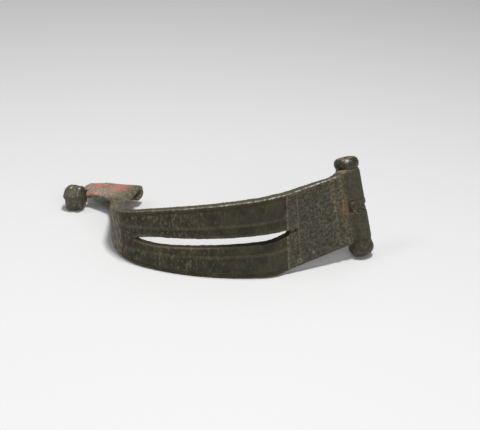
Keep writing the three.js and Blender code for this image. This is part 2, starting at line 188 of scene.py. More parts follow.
@dataclass(frozen=True)
class Strip:
    """The bow's strip: its side profile, widths, thicknesses and old bending.

    Places along it are distances from the hinge over the outer face, in millimetres. The profile is
    a chain of arcs, each given by its length and its turn. Widths and thicknesses are given at
    places, and angles are in degrees.
    """

    head_rise: float = 57.5
    outer_face_offset: float = 1.65
    arcs: tuple = ((17.8, 0.0), (3.8, -30.5), (23.4, -32.3), (13.8, -62.0), (9.6, 9.0))
    half_widths: tuple = (
        (0, 6.7), (14, 7.6), (19, 8.2), (30, 7.5), (42, 6.1), (50, 4.7), (57, 3.5), (62.5, 2.3),
        (68.1, 0.4),
    )
    thicknesses: tuple = (
        (0, 2.7), (4.5, 1.45), (8, 1.35), (46, 1.35), (54, 1.5), (61, 2.0), (68.1, 2.9),
    )
    twist_at_hinge: float = 11.7
    twist_at_bend: float = -8.0
    twist_at_foot: float = 4.0
    bend_place: float = 17.0
    foot_place: float = 60.0
    hinge_skew: float = -2.2
    slit_start: float = 13.9
    slit_end: float = 47.3
    slit_half_width: float = 0.95
    slit_offset: float = -0.15
    slit_head_taper: float = 7.0
    slit_foot_taper: float = 7.0
    slit_fullness: float = 0.8
    no_slit: float = 9.0

    @property
    def length(self) -> float:
        """Length of the strip over its outer face."""
        return sum(length for length, _ in self.arcs)

    @property
    def hinge_axis(self) -> Array:
        """Direction of the hinge axis, towards the upper knob."""
        return self.sections(np.zeros(1))[2][0]

    def half_width(self, place: Array) -> Array:
        """Half of the strip's width at each place."""
        return through_stations(self.half_widths, place)

    def thickness(self, place: Array) -> Array:
        """Thickness of the strip at each place."""
        return through_stations(self.thicknesses, place)

    def twist(self, place: Array) -> Array:
        """Find how far the strip leans.

        Args:
            place: Distances from the hinge.

        Returns:
            The lean at each place, in radians.
        """
        to_bend = np.clip(place, 0.0, None) / self.bend_place
        head = self.twist_at_hinge + (self.twist_at_bend - self.twist_at_hinge) * to_bend
        change = self.twist_at_foot - self.twist_at_bend
        tail = self.twist_at_bend + change * smoothstep(place, self.bend_place, self.foot_place)
        return np.radians(np.where(place < self.bend_place, head, tail))

    def slit(self, place: Array) -> Array:
        """Find the slit's half width.

        Args:
            place: Distances from the hinge.

        Returns:
            Half of its width at each place, nothing outside its ends.
        """
        def taper(run: Array, length: float) -> Array:
            """Widen over a length from the slit's end."""
            return np.sin(np.pi / 2 * np.clip(run / length, 0.0, 1.0)) ** self.slit_fullness

        at_head = taper(place - self.slit_start, self.slit_head_taper)
        at_foot = taper(self.slit_end - place, self.slit_foot_taper)
        return self.slit_half_width * at_head * at_foot

    def past_slit(self, place: Array, across: Array) -> Array:
        """Distance from the slit's wall into the metal, long where there is no slit."""
        slit = self.slit(place)
        return np.where(slit > 0.05, np.abs(across - self.slit_offset) - slit, self.no_slit)

    def profile(self, place: Array) -> tuple[Array, Array, Array]:
        """Follow the arcs of the side view.

        Args:
            place: Distances from the hinge.

        Returns:
            The x and y of the outer face's middle line, and its heading in radians.
        """
        heading = np.full(place.shape, math.radians(self.head_rise))
        x = -np.sin(heading) * self.outer_face_offset
        y = np.cos(heading) * self.outer_face_offset
        left = place.copy()
        for number, (length, turn) in enumerate(self.arcs):
            last = number == len(self.arcs) - 1
            run = np.clip(left, 0.0 if number else None, None if last else length)
            bend = math.radians(turn) * np.clip(run, 0.0, length) / length
            half = np.where(np.abs(bend) < 1e-9, 1e-9, bend / 2)
            chord = run * np.sin(half) / half
            x += chord * np.cos(heading + half)
            y += chord * np.sin(heading + half)
            heading += bend
            left = left - run
        return x, y, heading

    def sections(self, place: Array) -> tuple[Array, Array, Array]:
        """Find the strip's cross sections.

        Args:
            place: Distances from the hinge.

        Returns:
            The middle of the outer face, the direction out of it and the direction across it.
        """
        x, y, heading = self.profile(place)
        along = np.stack([np.cos(heading), np.sin(heading), np.zeros_like(heading)], axis=1)
        plain_out = np.stack([-along[:, 1], along[:, 0], np.zeros_like(heading)], axis=1)
        middle = np.stack([x, y, np.zeros_like(x)], axis=1)
        axis = middle - plain_out * self.outer_face_offset
        outward = turned(plain_out, along, self.twist(place))
        skew = math.radians(self.hinge_skew) * np.clip(1.0 - place / self.arcs[0][0], 0.0, 1.0)
        across = turned(np.cross(along, outward), outward, skew)
        return axis + outward * self.outer_face_offset, outward, across

    def locate(self, points: Array) -> tuple[Array, Array, Array]:
        """Give points their places in the strip.

        Args:
            points: Positions in the brooch's frame.

        Returns:
            Distance from the hinge, distance across and height above the outer face.
        """
        spacing, rounds, stride, overrun = 0.5, 8, 0.8, 4.0
        stations = np.arange(-1.0, self.length + 1.0, spacing)
        middles, _, _ = self.sections(stations)
        flat = points[:, None, :2] - middles[None, :, :2]
        place = stations[np.argmin((flat**2).sum(axis=2), axis=1)]
        for _ in range(rounds):
            middle, outward, across = self.sections(place)
            ahead = np.cross(outward, across)
            step = ((points - middle) * ahead).sum(axis=1)
            place = np.clip(place + stride * step, -overrun, self.length + overrun)
        middle, outward, across = self.sections(place)
        offset = points - middle
        return place, (offset * across).sum(axis=1), (offset * outward).sum(axis=1)


def turned(vectors: Array, axes: Array, angles: Array) -> Array:
    """Turn each vector about its own axis by its own angle.

    Args:
        vectors: The vectors, one in each row.
        axes: Their axes, of length 1.
        angles: Their angles in radians.

    Returns:
        The turned vectors.
    """
    cos = np.cos(angles)[:, None]
    sin = np.sin(angles)[:, None]
    dot = (vectors * axes).sum(axis=1)[:, None]
    return vectors * cos + np.cross(axes, vectors) * sin + axes * dot * (1.0 - cos)


def through_stations(stations: tuple, place: Array) -> Array:
    """Read a smooth curve through [place, value] stations, level at both ends.

    Args:
        stations: Pairs of place and value in rising order.
        place: Places to read the curve at.

    Returns:
        The value at each place.
    """
    at = np.array([pair[0] for pair in stations], float)
    value = np.array([pair[1] for pair in stations], float)
    slope = np.zeros_like(value)
    slope[1:-1] = (value[2:] - value[:-2]) / (at[2:] - at[:-2])
    clipped = np.clip(place, at[0], at[-1])
    k = np.clip(np.searchsorted(at, clipped, side="right") - 1, 0, len(at) - 2)
    span = at[k + 1] - at[k]
    t = (clipped - at[k]) / span
    ends = value[k] * (1 + 2 * t) * (1 - t) ** 2 + value[k + 1] * t * t * (3 - 2 * t)
    return ends + slope[k] * span * t * (1 - t) ** 2 - slope[k + 1] * span * t * t * (1 - t)


def find_brooch_frame(strip: Strip) -> BroochFrame:
    """Place the brooch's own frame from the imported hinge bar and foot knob.

    Args:
        strip: The strip whose head the hinge runs square to.

    Returns:
        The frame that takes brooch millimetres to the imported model.
    """
    bar_middle_shift = 0.275
    foot_knob_centre = np.array([57.22, 5.43, 0.0])
    bar = node_points("hinge_axis_bar")
    direction = long_direction(bar, node_points("hinge_knob_upper").mean(axis=0))
    along = (bar - bar.mean(axis=0)) @ direction
    middle = bar.mean(axis=0) + direction * (along.min() + along.max()) / 2
    origin = middle - direction * bar_middle_shift * MM
    to_foot = node_points("foot_knob").mean(axis=0) - origin
    model_basis = basis_from(direction, to_foot)
    brooch_basis = basis_from(strip.hinge_axis, foot_knob_centre)
    return BroochFrame(origin, model_basis @ brooch_basis.T)


def long_direction(points: Array, towards: Array) -> Array:
    """Find the long direction of a set of points.

    Args:
        points: The points.
        towards: A place on the side to which the direction points.

    Returns:
        The direction, of length 1.
    """
    middle = points.mean(axis=0)
    long = np.linalg.svd(points - middle, full_matrices=False)[2][0]
    return long if (towards - middle) @ long > 0 else -long


def basis_from(first: Array, second: Array) -> Array:
    """Make three directions square to each other.

    Args:
        first: The first of them, of any length.
        second: A direction in the plane of the first two.

    Returns:
        The directions, one in each column.
    """
    a = first / np.linalg.norm(first)
    b = second - a * (second @ a)
    b /= np.linalg.norm(b)
    return np.stack([a, b, np.cross(a, b)], axis=1)


# Mesh helpers


def object_from(name: str, bm: bmesh.types.BMesh) -> Piece:
    """Make an object of a bmesh at the origin and free the bmesh.

    Args:
        name: Name of the object and its mesh.
        bm: The bmesh.

    Returns:
        The object.
    """
    mesh = bpy.data.meshes.new(name)
    bm.to_mesh(mesh)
    bm.free()
    made = bpy.data.objects.new(name, mesh)
    bpy.context.scene.collection.objects.link(made)
    return made


def voxel_skin(piece: Piece, voxel: float) -> None:
    """Give a piece one even skin.

    Args:
        piece: The piece, made of one closed mesh.
        voxel: Spacing of the new skin's points, in millimetres.
    """
    remesh = piece.modifiers.new("even_skin", "REMESH")
    remesh.mode = "VOXEL"
    remesh.voxel_size = voxel * MM
    view = bpy.context.evaluated_depsgraph_get()
    mesh = bpy.data.meshes.new_from_object(piece.evaluated_get(view), depsgraph=view)
    piece.modifiers.clear()
    piece.data = mesh


def softened(piece: Piece, rounds: int, where: Array | None = None) -> None:
    """Round off a piece's steps and corners by a few rounds of smoothing.

    Args:
        piece: The piece.
        rounds: Number of rounds.
        where: Whether each point takes part; all do if it is left out.
    """
    bm = bmesh.new()
    bm.from_mesh(piece.data)
    chosen = [vert for vert in bm.verts if where is None or where[vert.index]]
    for _ in range(rounds):
        bmesh.ops.smooth_vert(
            bm, verts=chosen, factor=0.5, use_axis_x=True, use_axis_y=True, use_axis_z=True)
    bm.to_mesh(piece.data)
    bm.free()


def positions(piece: Piece) -> Array:
    """Return a piece's points in metres."""
    return point_values(piece, "co")


def normals(piece: Piece) -> Array:
    """Return the directions out of a piece's surface at its points."""
    return point_values(piece, "normal")


def point_values(piece: Piece, name: str) -> Array:
    """Read a value of three parts at each point of a piece.

    Args:
        piece: The piece.
        name: Name of the value.

    Returns:
        The values, one in each row.
    """
    values = np.empty(len(piece.data.vertices) * 3)
    piece.data.vertices.foreach_get(name, values)
    return values.reshape(-1, 3)


def move_to(piece: Piece, points: Array) -> None:
    """Move a piece's points, keeping them off the floor.

    Args:
        piece: The piece.
        points: Its new points in metres.
    """
    points = points.copy()
    points[:, 2] = np.clip(points[:, 2], cad_low.z, None)
    piece.data.vertices.foreach_set("co", points.ravel())
    piece.data.update()


def paint(piece: Piece, masks: Masks) -> None:
    """Store masks on a piece's points, for its material to read.

    Args:
        piece: The piece.
        masks: Values of 0 to 1 for each point, by the name of the mask.
    """
    for name, values in masks.items():
        layer = piece.data.attributes.new(name, "FLOAT", "POINT")
        layer.data.foreach_set("value", np.clip(values, 0.0, 1.0).astype(np.float32))


def finish_piece(piece: Piece, material: Material, node: str, slot: Slot) -> None:
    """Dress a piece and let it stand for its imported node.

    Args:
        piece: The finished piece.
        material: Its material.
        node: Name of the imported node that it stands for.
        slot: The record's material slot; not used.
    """
    piece.data.materials.clear()
    piece.data.materials.append(material)
    piece.data.shade_smooth()
    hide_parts(node)
    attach(piece, BODY)
    mesh = piece.data
    log.info("%s: %d points, %d faces", piece.name, len(mesh.vertices), len(mesh.polygons))


def turned_shape(outline: Outline, segments: int) -> bmesh.types.BMesh:
    """Turn an outline about z into a closed shape.

    Args:
        outline: Pairs of radius and height, from one end on the axis to the other.
        segments: Number of steps round.

    Returns:
        The turned shape, its faces pointing out.
    """
    bm = bmesh.new()
    points = [bm.verts.new((radius, 0.0, height)) for radius, height in outline]
    edges = [bm.edges.new(pair) for pair in zip(points, points[1:])]
    bmesh.ops.spin(
        bm, geom=points + edges, cent=(0, 0, 0), axis=(0, 0, 1), dvec=(0, 0, 0),
        angle=2 * math.pi, steps=segments, use_merge=True, use_duplicate=False)
    bmesh.ops.remove_doubles(bm, verts=bm.verts, dist=1e-5)
    bmesh.ops.recalc_face_normals(bm, faces=bm.faces)
    return bm


def even_outline(outline: Outline, spacing: float) -> Outline:
    """Divide the stretches of an outline into even steps.

    Args:
        outline: Pairs of radius and height.
        spacing: The longest step.

    Returns:
        The finer outline.
    """
    steps = [outline[0]]
    for start, end in zip(outline, outline[1:]):
        count = max(1, math.ceil(math.dist(start, end) / spacing))
        for i in range(1, count + 1):
            steps.append(tuple(a + (b - a) * (i / count) for a, b in zip(start, end)))
    return steps


# Materials


def colour(code: str) -> tuple[float, float, float, float]:
    """Turn a six-digit colour code into the linear values that shaders take.

    Args:
        code: Red, green and blue in hexadecimal.

    Returns:
        Linear red, green and blue, and full cover.
    """
    parts = [int(code[i:i + 2], 16) / 255 for i in (0, 2, 4)]
    linear = [p / 12.92 if p <= 0.04045 else ((p + 0.055) / 1.055) ** 2.4 for p in parts]
    return (*linear, 1.0)


class Shader:
    """A node material under construction."""

    def __init__(self, name: str) -> None:
        """Start a material with a plain surface shader.

        Args:
            name: Name of the material.
        """
        self.material = bpy.data.materials.new(name)
        self.material.use_nodes = True
        self.tree = self.material.node_tree
        self.surface = self.tree.nodes["Principled BSDF"]
        self.place = self.node("ShaderNodeTexCoord").outputs["Object"]

    def node(self, kind: str, inputs: dict | None = None, **settings: object) -> bpy.types.Node:
        """Add a node, set its properties and feed its inputs.

        Args:
            kind: Type of the node.
            inputs: What to feed, by the name or number of the input.
            **settings: Properties of the node.

        Returns:
            The node.
        """
        made = self.tree.nodes.new(kind)
        for name, value in settings.items():
            setattr(made, name, value)
        for name, value in (inputs or {}).items():
            self.feed(made.inputs[name], value)
        return made

    def feed(self, socket: Socket, value: Socket | float | tuple) -> None:
        """Link a value into a socket, or set it there if it is a constant.

        Args:
            socket: The socket of a node's input.
            value: Another node's output, or a constant.
        """
        if isinstance(value, Socket):
            self.tree.links.new(value, socket)
        else:
            socket.default_value = value

    def mask(self, name: str) -> Socket:
        """Read a mask stored on the piece's points."""
        return self.node("ShaderNodeAttribute", attribute_name=name).outputs["Fac"]

    def grain(
            self, size: float, detail: float = 3.0, roughness: float = 0.6, stretch: float = 1.0,
            ) -> Socket:
        """Make noise.

        Args:
            size: Size of its lumps in millimetres.
            detail: Number of finer layers.
            roughness: Weight of the finer layers.
            stretch: How many times longer than wide the lumps are, along z.

        Returns:
            Values round 0.5.
        """
        mapping = self.node(
            "ShaderNodeMapping", {"Vector": self.place, "Scale": (1.0, 1.0, 1.0 / stretch)})
        return self.node("ShaderNodeTexNoise", {
            "Vector": mapping.outputs["Vector"], "Scale": 1.0 / (size * MM), "Detail": detail,
            "Roughness": roughness}).outputs["Fac"]

    def patches(self, low: float, high: float, **grain: float) -> Socket:
        """Make patches of 0 to 1 where noise, given as for grain, goes from low to high."""
        return self.step(self.grain(**grain), low, high)

    def cells(self, size: float) -> Socket:
        """Return the distance to the middle of cells whose size is in millimetres."""
        inputs = {"Vector": self.place, "Scale": 1.0 / (size * MM)}
        return self.node("ShaderNodeTexVoronoi", inputs).outputs["Distance"]

    def step(self, value: Socket, start: float, end: float) -> Socket:
        """Rise smoothly from 0 to 1 as the value goes from start to end."""
        inputs = {"Value": value, "From Min": start, "From Max": end}
        return self.map_range(inputs, interpolation_type="SMOOTHSTEP")

    def line(self, name: str, half_width: float) -> Socket:
        """Draw a line where the named mask, a distance in millimetres, is under the half width."""
        return self.step(self.mask(name), half_width, half_width * 0.35)

    def spread(self, value: Socket, low: float, high: float) -> Socket:
        """Map a value of 0 to 1 onto a range."""
        return self.map_range({"Value": value, "To Min": low, "To Max": high})

    def map_range(self, inputs: dict, **settings: object) -> Socket:
        """Map a value from one range to another."""
        return self.node("ShaderNodeMapRange", inputs, **settings).outputs["Result"]

    def math(self, operation: str, a: Socket | float, b: Socket | float) -> Socket:
        """Combine two values."""
        return self.node("ShaderNodeMath", {0: a, 1: b}, operation=operation).outputs["Value"]

    def part(self, mask: Socket, share: Socket | float) -> Socket:
        """Let a share of a mask through."""
        return self.math("MULTIPLY", mask, share)

    def mix(self, share: Socket, below: Socket | str, above: Socket | str) -> Socket:
        """Lay one colour over another by a share.

        Args:
            share: How much of the upper colour shows.
            below: The lower colour, as a socket or a colour code.
            above: The upper colour, as a socket or a colour code.

        Returns:
            The mixed colour.
        """
        made = self.node("ShaderNodeMix", data_type="RGBA")
        self.feed(made.inputs["Factor"], share)
        lower, upper = [s for s in made.inputs if s.type == "RGBA"]
        self.feed(lower, colour(below) if isinstance(below, str) else below)
        self.feed(upper, colour(above) if isinstance(above, str) else above)
        return next(s for s in made.outputs if s.type == "RGBA")

    def bump(self, height: Socket, depth: float, under: Socket | None = None) -> Socket:
        """Raise the surface.

        Args:
            height: The relief, from 0 to 1.
            depth: What its range stands for, in millimetres.
            under: A coarser relief that it lies on.

        Returns:
            The surface's new directions.
        """
        inputs = {"Strength": 1.0, "Distance": depth * MM, "Height": height}
        if under is not None:
            inputs["Normal"] = under
        return self.node("ShaderNodeBump", inputs).outputs["Normal"]


@dataclass(frozen=True)
class Patina:
    """Mottled mineral skin of old copper alloy.

    Attributes:
        name: Name of the material.
        deep: Colour of the darkest patches.
        plain: Main colour.
        pale: Colour of the worn strokes.
        brown: Colour of earth in the hollows.
        bright: Colour of the painted highlights on the knobs.
        earth: Colour of earth dried on an end face.
        strokes: How strongly the pale strokes show.
        gloss: Lowest roughness.
        dull: Highest roughness.
        shine: Strength of the surface's mirror-like part.
        pitting: Depth of the fine pits in millimetres.
    """

    name: str
    deep: str = "29281d"
    plain: str = "403e2d"
    pale: str = "726e58"
    brown: str = "473b28"
    bright: str = "d6d3c6"
    earth: str = "87765e"
    strokes: float = 0.45
    gloss: float = 0.5
    dull: float = 0.75
    shine: float = 0.22
    pitting: float = 0.07

    def skin(self, shader: Shader) -> Socket:
        """Mix the mottled base colour.

        Args:
            shader: The material under construction.

        Returns:
            The colour.
        """
        cloud = shader.patches(0.38, 0.62, size=3.0, detail=4.0)
        stroke = shader.patches(0.5, 0.7, size=0.45, roughness=0.7, stretch=2.2)
        speck = shader.patches(0.54, 0.72, size=0.26, detail=2.0)
        earth = shader.patches(0.54, 0.72, size=1.3, detail=4.0, roughness=0.7)
        base = shader.mix(shader.spread(cloud, 0.2, 1.0), self.deep, self.plain)
        base = shader.mix(shader.part(earth, 0.5), base, self.brown)
        base = shader.mix(shader.part(stroke, self.stroke_share(shader)), base, self.pale)
        return shader.mix(shader.part(speck, 0.5), base, self.deep)

    def stroke_share(self, shader: Shader) -> Socket | float:
        """Return how strongly the pale strokes show."""
        return self.strokes

    def roughness(self, shader: Shader) -> Socket:
        """Let the surface go from glossy to dull in patches."""
        return shader.spread(shader.grain(size=1.1), self.gloss, self.dull)

    def relief(self, shader: Shader) -> Socket:
        """Make the fine pits and lumps that stand on the mesh.

        Args:
            shader: The material under construction.

        Returns:
            The surface's directions.
        """
        coarse = shader.bump(shader.grain(size=0.55, stretch=1.8), self.pitting * 1.6)
        pits = shader.step(shader.cells(0.4), 0.05, 0.45)
        return shader.bump(pits, self.pitting * 0.5, coarse)

    def dress(self, shader: Shader, base: Socket, rough: Socket) -> Material:
        """Feed the surface shader.

        Args:
            shader: The material under construction.
            base: Its colour.
            rough: Its roughness.

        Returns:
            The finished material.
        """
        shader.feed(shader.surface.inputs["Base Color"], base)
        shader.feed(shader.surface.inputs["Roughness"], rough)
        shader.feed(shader.surface.inputs["Normal"], self.relief(shader))
        shader.surface.inputs["Specular IOR Level"].default_value = self.shine
        return shader.material

    def build(self) -> Material:
        """Make the material, reading the painted highlight and earthy masks where a piece has them.

        Returns:
            The finished material.
        """
        shader = Shader(self.name)
        broken = shader.patches(0.42, 0.58, size=0.3, detail=2.0)
        # Painted highlights: pale spots laid where the lamp would catch a knob's rim.
        painted_glint = shader.part(shader.mask("painted_glint"), broken)
        earthy = shader.part(shader.mask("earthy"), shader.spread(broken, 0.45, 0.9))
        base = shader.mix(earthy, self.skin(shader), self.earth)
        return self.dress(shader, shader.mix(painted_glint, base, self.bright), self.roughness(shader))


@dataclass(frozen=True)
class PinRust(Patina):
    """Rust of the pin's head, dark with rust and painted shade mid-slot, with a few green salts.

    Attributes:
        rust_and_shade: Dark of the slot's middle, partly rust and partly painted shade.
        salts: Pale green of the copper salts.
    """

    rust_and_shade: str = "2b2a20"
    salts: str = "8f957d"

    def build(self) -> Material:
        """Make the material, reading the heart mask that is stored on the piece.

        Returns:
            The finished material.
        """
        shader = Shader(self.name)
        rust_and_shade = shader.mask("rust_and_shade")
        # Painted shade with dark rust in the middle of the slot.
        base = shader.mix(shader.part(rust_and_shade, 0.85), self.skin(shader), self.rust_and_shade)
        dots = shader.patches(0.58, 0.66, size=0.34, detail=1.0)
        base = shader.mix(shader.part(shader.part(dots, rust_and_shade), 0.8), base, self.salts)
        return self.dress(shader, base, self.roughness(shader))


@dataclass(frozen=True)
class BowPatina(Patina):
    """Skin of the bow and foot, with its worn edges, earth, rust and faded red smears.

    Attributes:
        worn: Colour of rubbed marks and of the arris's rubbed edge and painted highlight.
        line: Colour of the rubbed cross lines.
        foot_end: Paler skin of the bow's foot end and neck.
        foot_dark: Ground between its strokes.
        plate: Pinkish skin of the catch plate.
        plate_dark: Ground between its specks.
        plate_green: Grey-green patches on it.
        red: Faded red of the smears on the plate.
        rust: Iron stain round the pin slot.
        slit_wall: Pinkish-brown earth on the slit's lower wall.
        rim: Greyer skin of the strip's upper edge.
        head: Paler specks of the head plate.
        head_grey: Greyer specks of its other patches.
        head_dark: Ground between its specks.
        tube: Smoother, paler skin of the hinge tube.
        rib: Earthy brown of the ribs beside the hinge.
        rib_dark: Ground between its specks.
        neck_earth: Light brown earth under the upper knob, also the painted light inside the hook.
        crease_shade_and_cracks: Painted shade of the crease by the tube, and dark of the crack and
            fine cut.
    """

    worn: str = "d0c9b8"
    line: str = "84775f"
    foot_end: str = "988f7a"
    foot_dark: str = "58533f"
    plate: str = "ba9d8d"
    plate_dark: str = "857a69"
    plate_green: str = "75745f"
    red: str = "cc6e64"
    rust: str = "6f5341"
    slit_wall: str = "857460"
    rim: str = "5b5644"
    head: str = "78735f"
    head_grey: str = "6a665a"
    head_dark: str = "35342b"
    tube: str = "423f31"
    rib: str = "80765b"
    rib_dark: str = "4b4533"
    neck_earth: str = "8a7660"
    crease_shade_and_cracks: str = "14120d"

    def stroke_share(self, shader: Shader) -> Socket:
        """Let the strokes stand out on the leathery foot end of the bow and fade on its crest."""
        return shader.spread(shader.mask("leather"), 0.2, 0.9)

    def build(self) -> Material:
        """Make the material, reading the masks that are stored on the body.

        Returns:
            The finished material.
        """
        shader = Shader(self.name)
        speckle = shader.patches(0.39, 0.64, size=0.46, detail=4.0, roughness=0.72)
        broken = shader.patches(0.4, 0.62, size=0.7, roughness=0.75)
        stroke = shader.patches(0.44, 0.62, size=0.5, roughness=0.7, stretch=2.6)
        zone = shader.patches(0.42, 0.6, size=4.5, detail=2.0)
        green = shader.patches(0.5, 0.62, size=1.7, detail=2.0)
        head = shader.mix(speckle, self.head_dark, shader.mix(zone, self.head_grey, self.head))
        foot = shader.mix(stroke, self.foot_dark, self.foot_end)
        plate = shader.mix(speckle, self.plate_dark, self.plate)
        plate = shader.mix(shader.part(green, 0.65), plate, self.plate_green)
        rib = shader.mix(speckle, self.rib_dark, self.rib)

        def lay(base: Socket, layers: tuple) -> Socket:
            """Lay colours over the base in turn, broken between a low and a high share.

            Args:
                base: The colour below.
                layers: For each colour its mask or the mask's name, itself and the two shares.

            Returns:
                The mixed colour.
            """
            for where, above, low, high in layers:
                mask = shader.mask(where) if isinstance(where, str) else where
                base = shader.mix(shader.part(mask, shader.spread(broken, low, high)), base, above)
            return base

        base = self.skin(shader)
        for name, above, share in (
                ("head", head, 0.58), ("tube", self.tube, 0.65), ("foot_end", foot, 0.8)):
            base = shader.mix(shader.part(shader.mask(name), share), base, above)
        base = lay(base, (
            ("rib", rib, 0.45, 0.9), ("earth", self.brown, 0.5, 1.0),
            ("slit_wall", self.slit_wall, 0.6, 1.0), ("rim", self.rim, 0.5, 1.0)))
        base = shader.mix(shader.mask("plate"), base, plate)
        # Along the upper arris the pale line is partly rubbed edge, partly painted highlight.
        arris = shader.part(shader.line("from_upper_arris", 0.25), shader.mask("wear_and_sheen"))
        base = lay(base, (
            # hook_painted_light lays painted light on the hook's down-facing inside.
            ("smear", self.red, 0.5, 1.0), ("hook_painted_light", self.neck_earth, 0.4, 1.0),
            ("rust", self.rust, 0.4, 1.0), ("neck_earth", self.neck_earth, 0.6, 1.0),
            ("worn", self.worn, 0.2, 0.9), (arris, self.worn, 0.15, 1.0),
            (shader.line("from_lower_arris", 0.2), self.line, 0.0, 0.6),
            (shader.line("from_cross_line", 0.38), self.line, 0.1, 0.8),
            (shader.line("from_panel_line", 0.55), self.line, 0.08, 0.2)))
        # Painted shade in the crease by the tube, with the dark of the crack and the fine cut.
        base = shader.mix(shader.mask("crease_shade_and_cracks"), base, self.crease_shade_and_cracks)
        rough = shader.math(
            "ADD", self.roughness(shader), shader.part(shader.mask("plate"), 0.15))
        return self.dress(shader, base, rough)


# The body of the brooch


@dataclass(frozen=True)
class SkinPoints:
    """The points of the body's skin, as the strip and the hinge see them.

    Attributes:
        points: Positions in the brooch's frame.
        facing: Directions out of the surface.
        place: Distances from the hinge along the strip.
        across: Distances across the strip, positive to the upper edge.
        height: Heights above the strip's plain outer face.
        outward: The strip's directions out of its outer face.
        sideways: The strip's directions across, to the upper edge.
        half_width: Half of the strip's width.
        along_hinge: Distances along the hinge axis, positive to the upper knob.
        from_axis: Distances from the hinge axis.
    """

    points: Array
    facing: Array
    place: Array
    across: Array
    height: Array
    outward: Array
    sideways: Array
    half_width: Array
    along_hinge: Array
    from_axis: Array

    @cached_property
    def out(self) -> Array:
        """How squarely each point faces out of the outer face."""
        return (self.facing * self.outward).sum(axis=1)

    @cached_property
    def side(self) -> Array:
        """How squarely each point faces the upper edge."""
        return (self.facing * self.sideways).sum(axis=1)

    @cached_property
    def on_upper_edge(self) -> Array:
        """How far each point belongs to an upper edge."""
        return smoothstep(self.side, 0.3, 0.7)

    @cached_property
    def from_edge(self) -> Array:
        """Distance of each point from the strip's nearer edge."""
        return self.half_width - np.abs(self.across)

    @cached_property
    def is_outer(self) -> Array:
        """How far each point belongs to the outer face."""
        return smoothstep(self.out, 0.1, 0.5) * (self.place > 2.0) * (self.height > -0.8)

    @cached_property
    def patchy(self) -> Array:
        """Broad patches of 0 to 1, in which wear and dirt come and go."""
        return 0.5 + 0.5 * np.clip(1.6 * self.lumps(2.5, seed=51.0), -1.0, 1.0)

    @cached_property
    def wander(self) -> Array:
        """Small distances by which worn lines stray."""
        return 0.12 * self.lumps(1.8, seed=73.0, octaves=2)

    def lumps(
            self, size: float, seed: float, octaves: int = 3, squeeze: tuple = (1, 1, 1)) -> Array:
        """Sample noise at the points, its lumps drawn out where the squeeze is under 1."""
        return lumps(self.points * np.array(squeeze, float), size, seed, octaves)


# How squarely a point has to face a way to begin to belong to that side, and to belong to it.
FACES_OUT = (0.25, 0.6)
FACES_EDGE = (0.5, 0.85)
FACES_WALL = (0.4, 0.8)


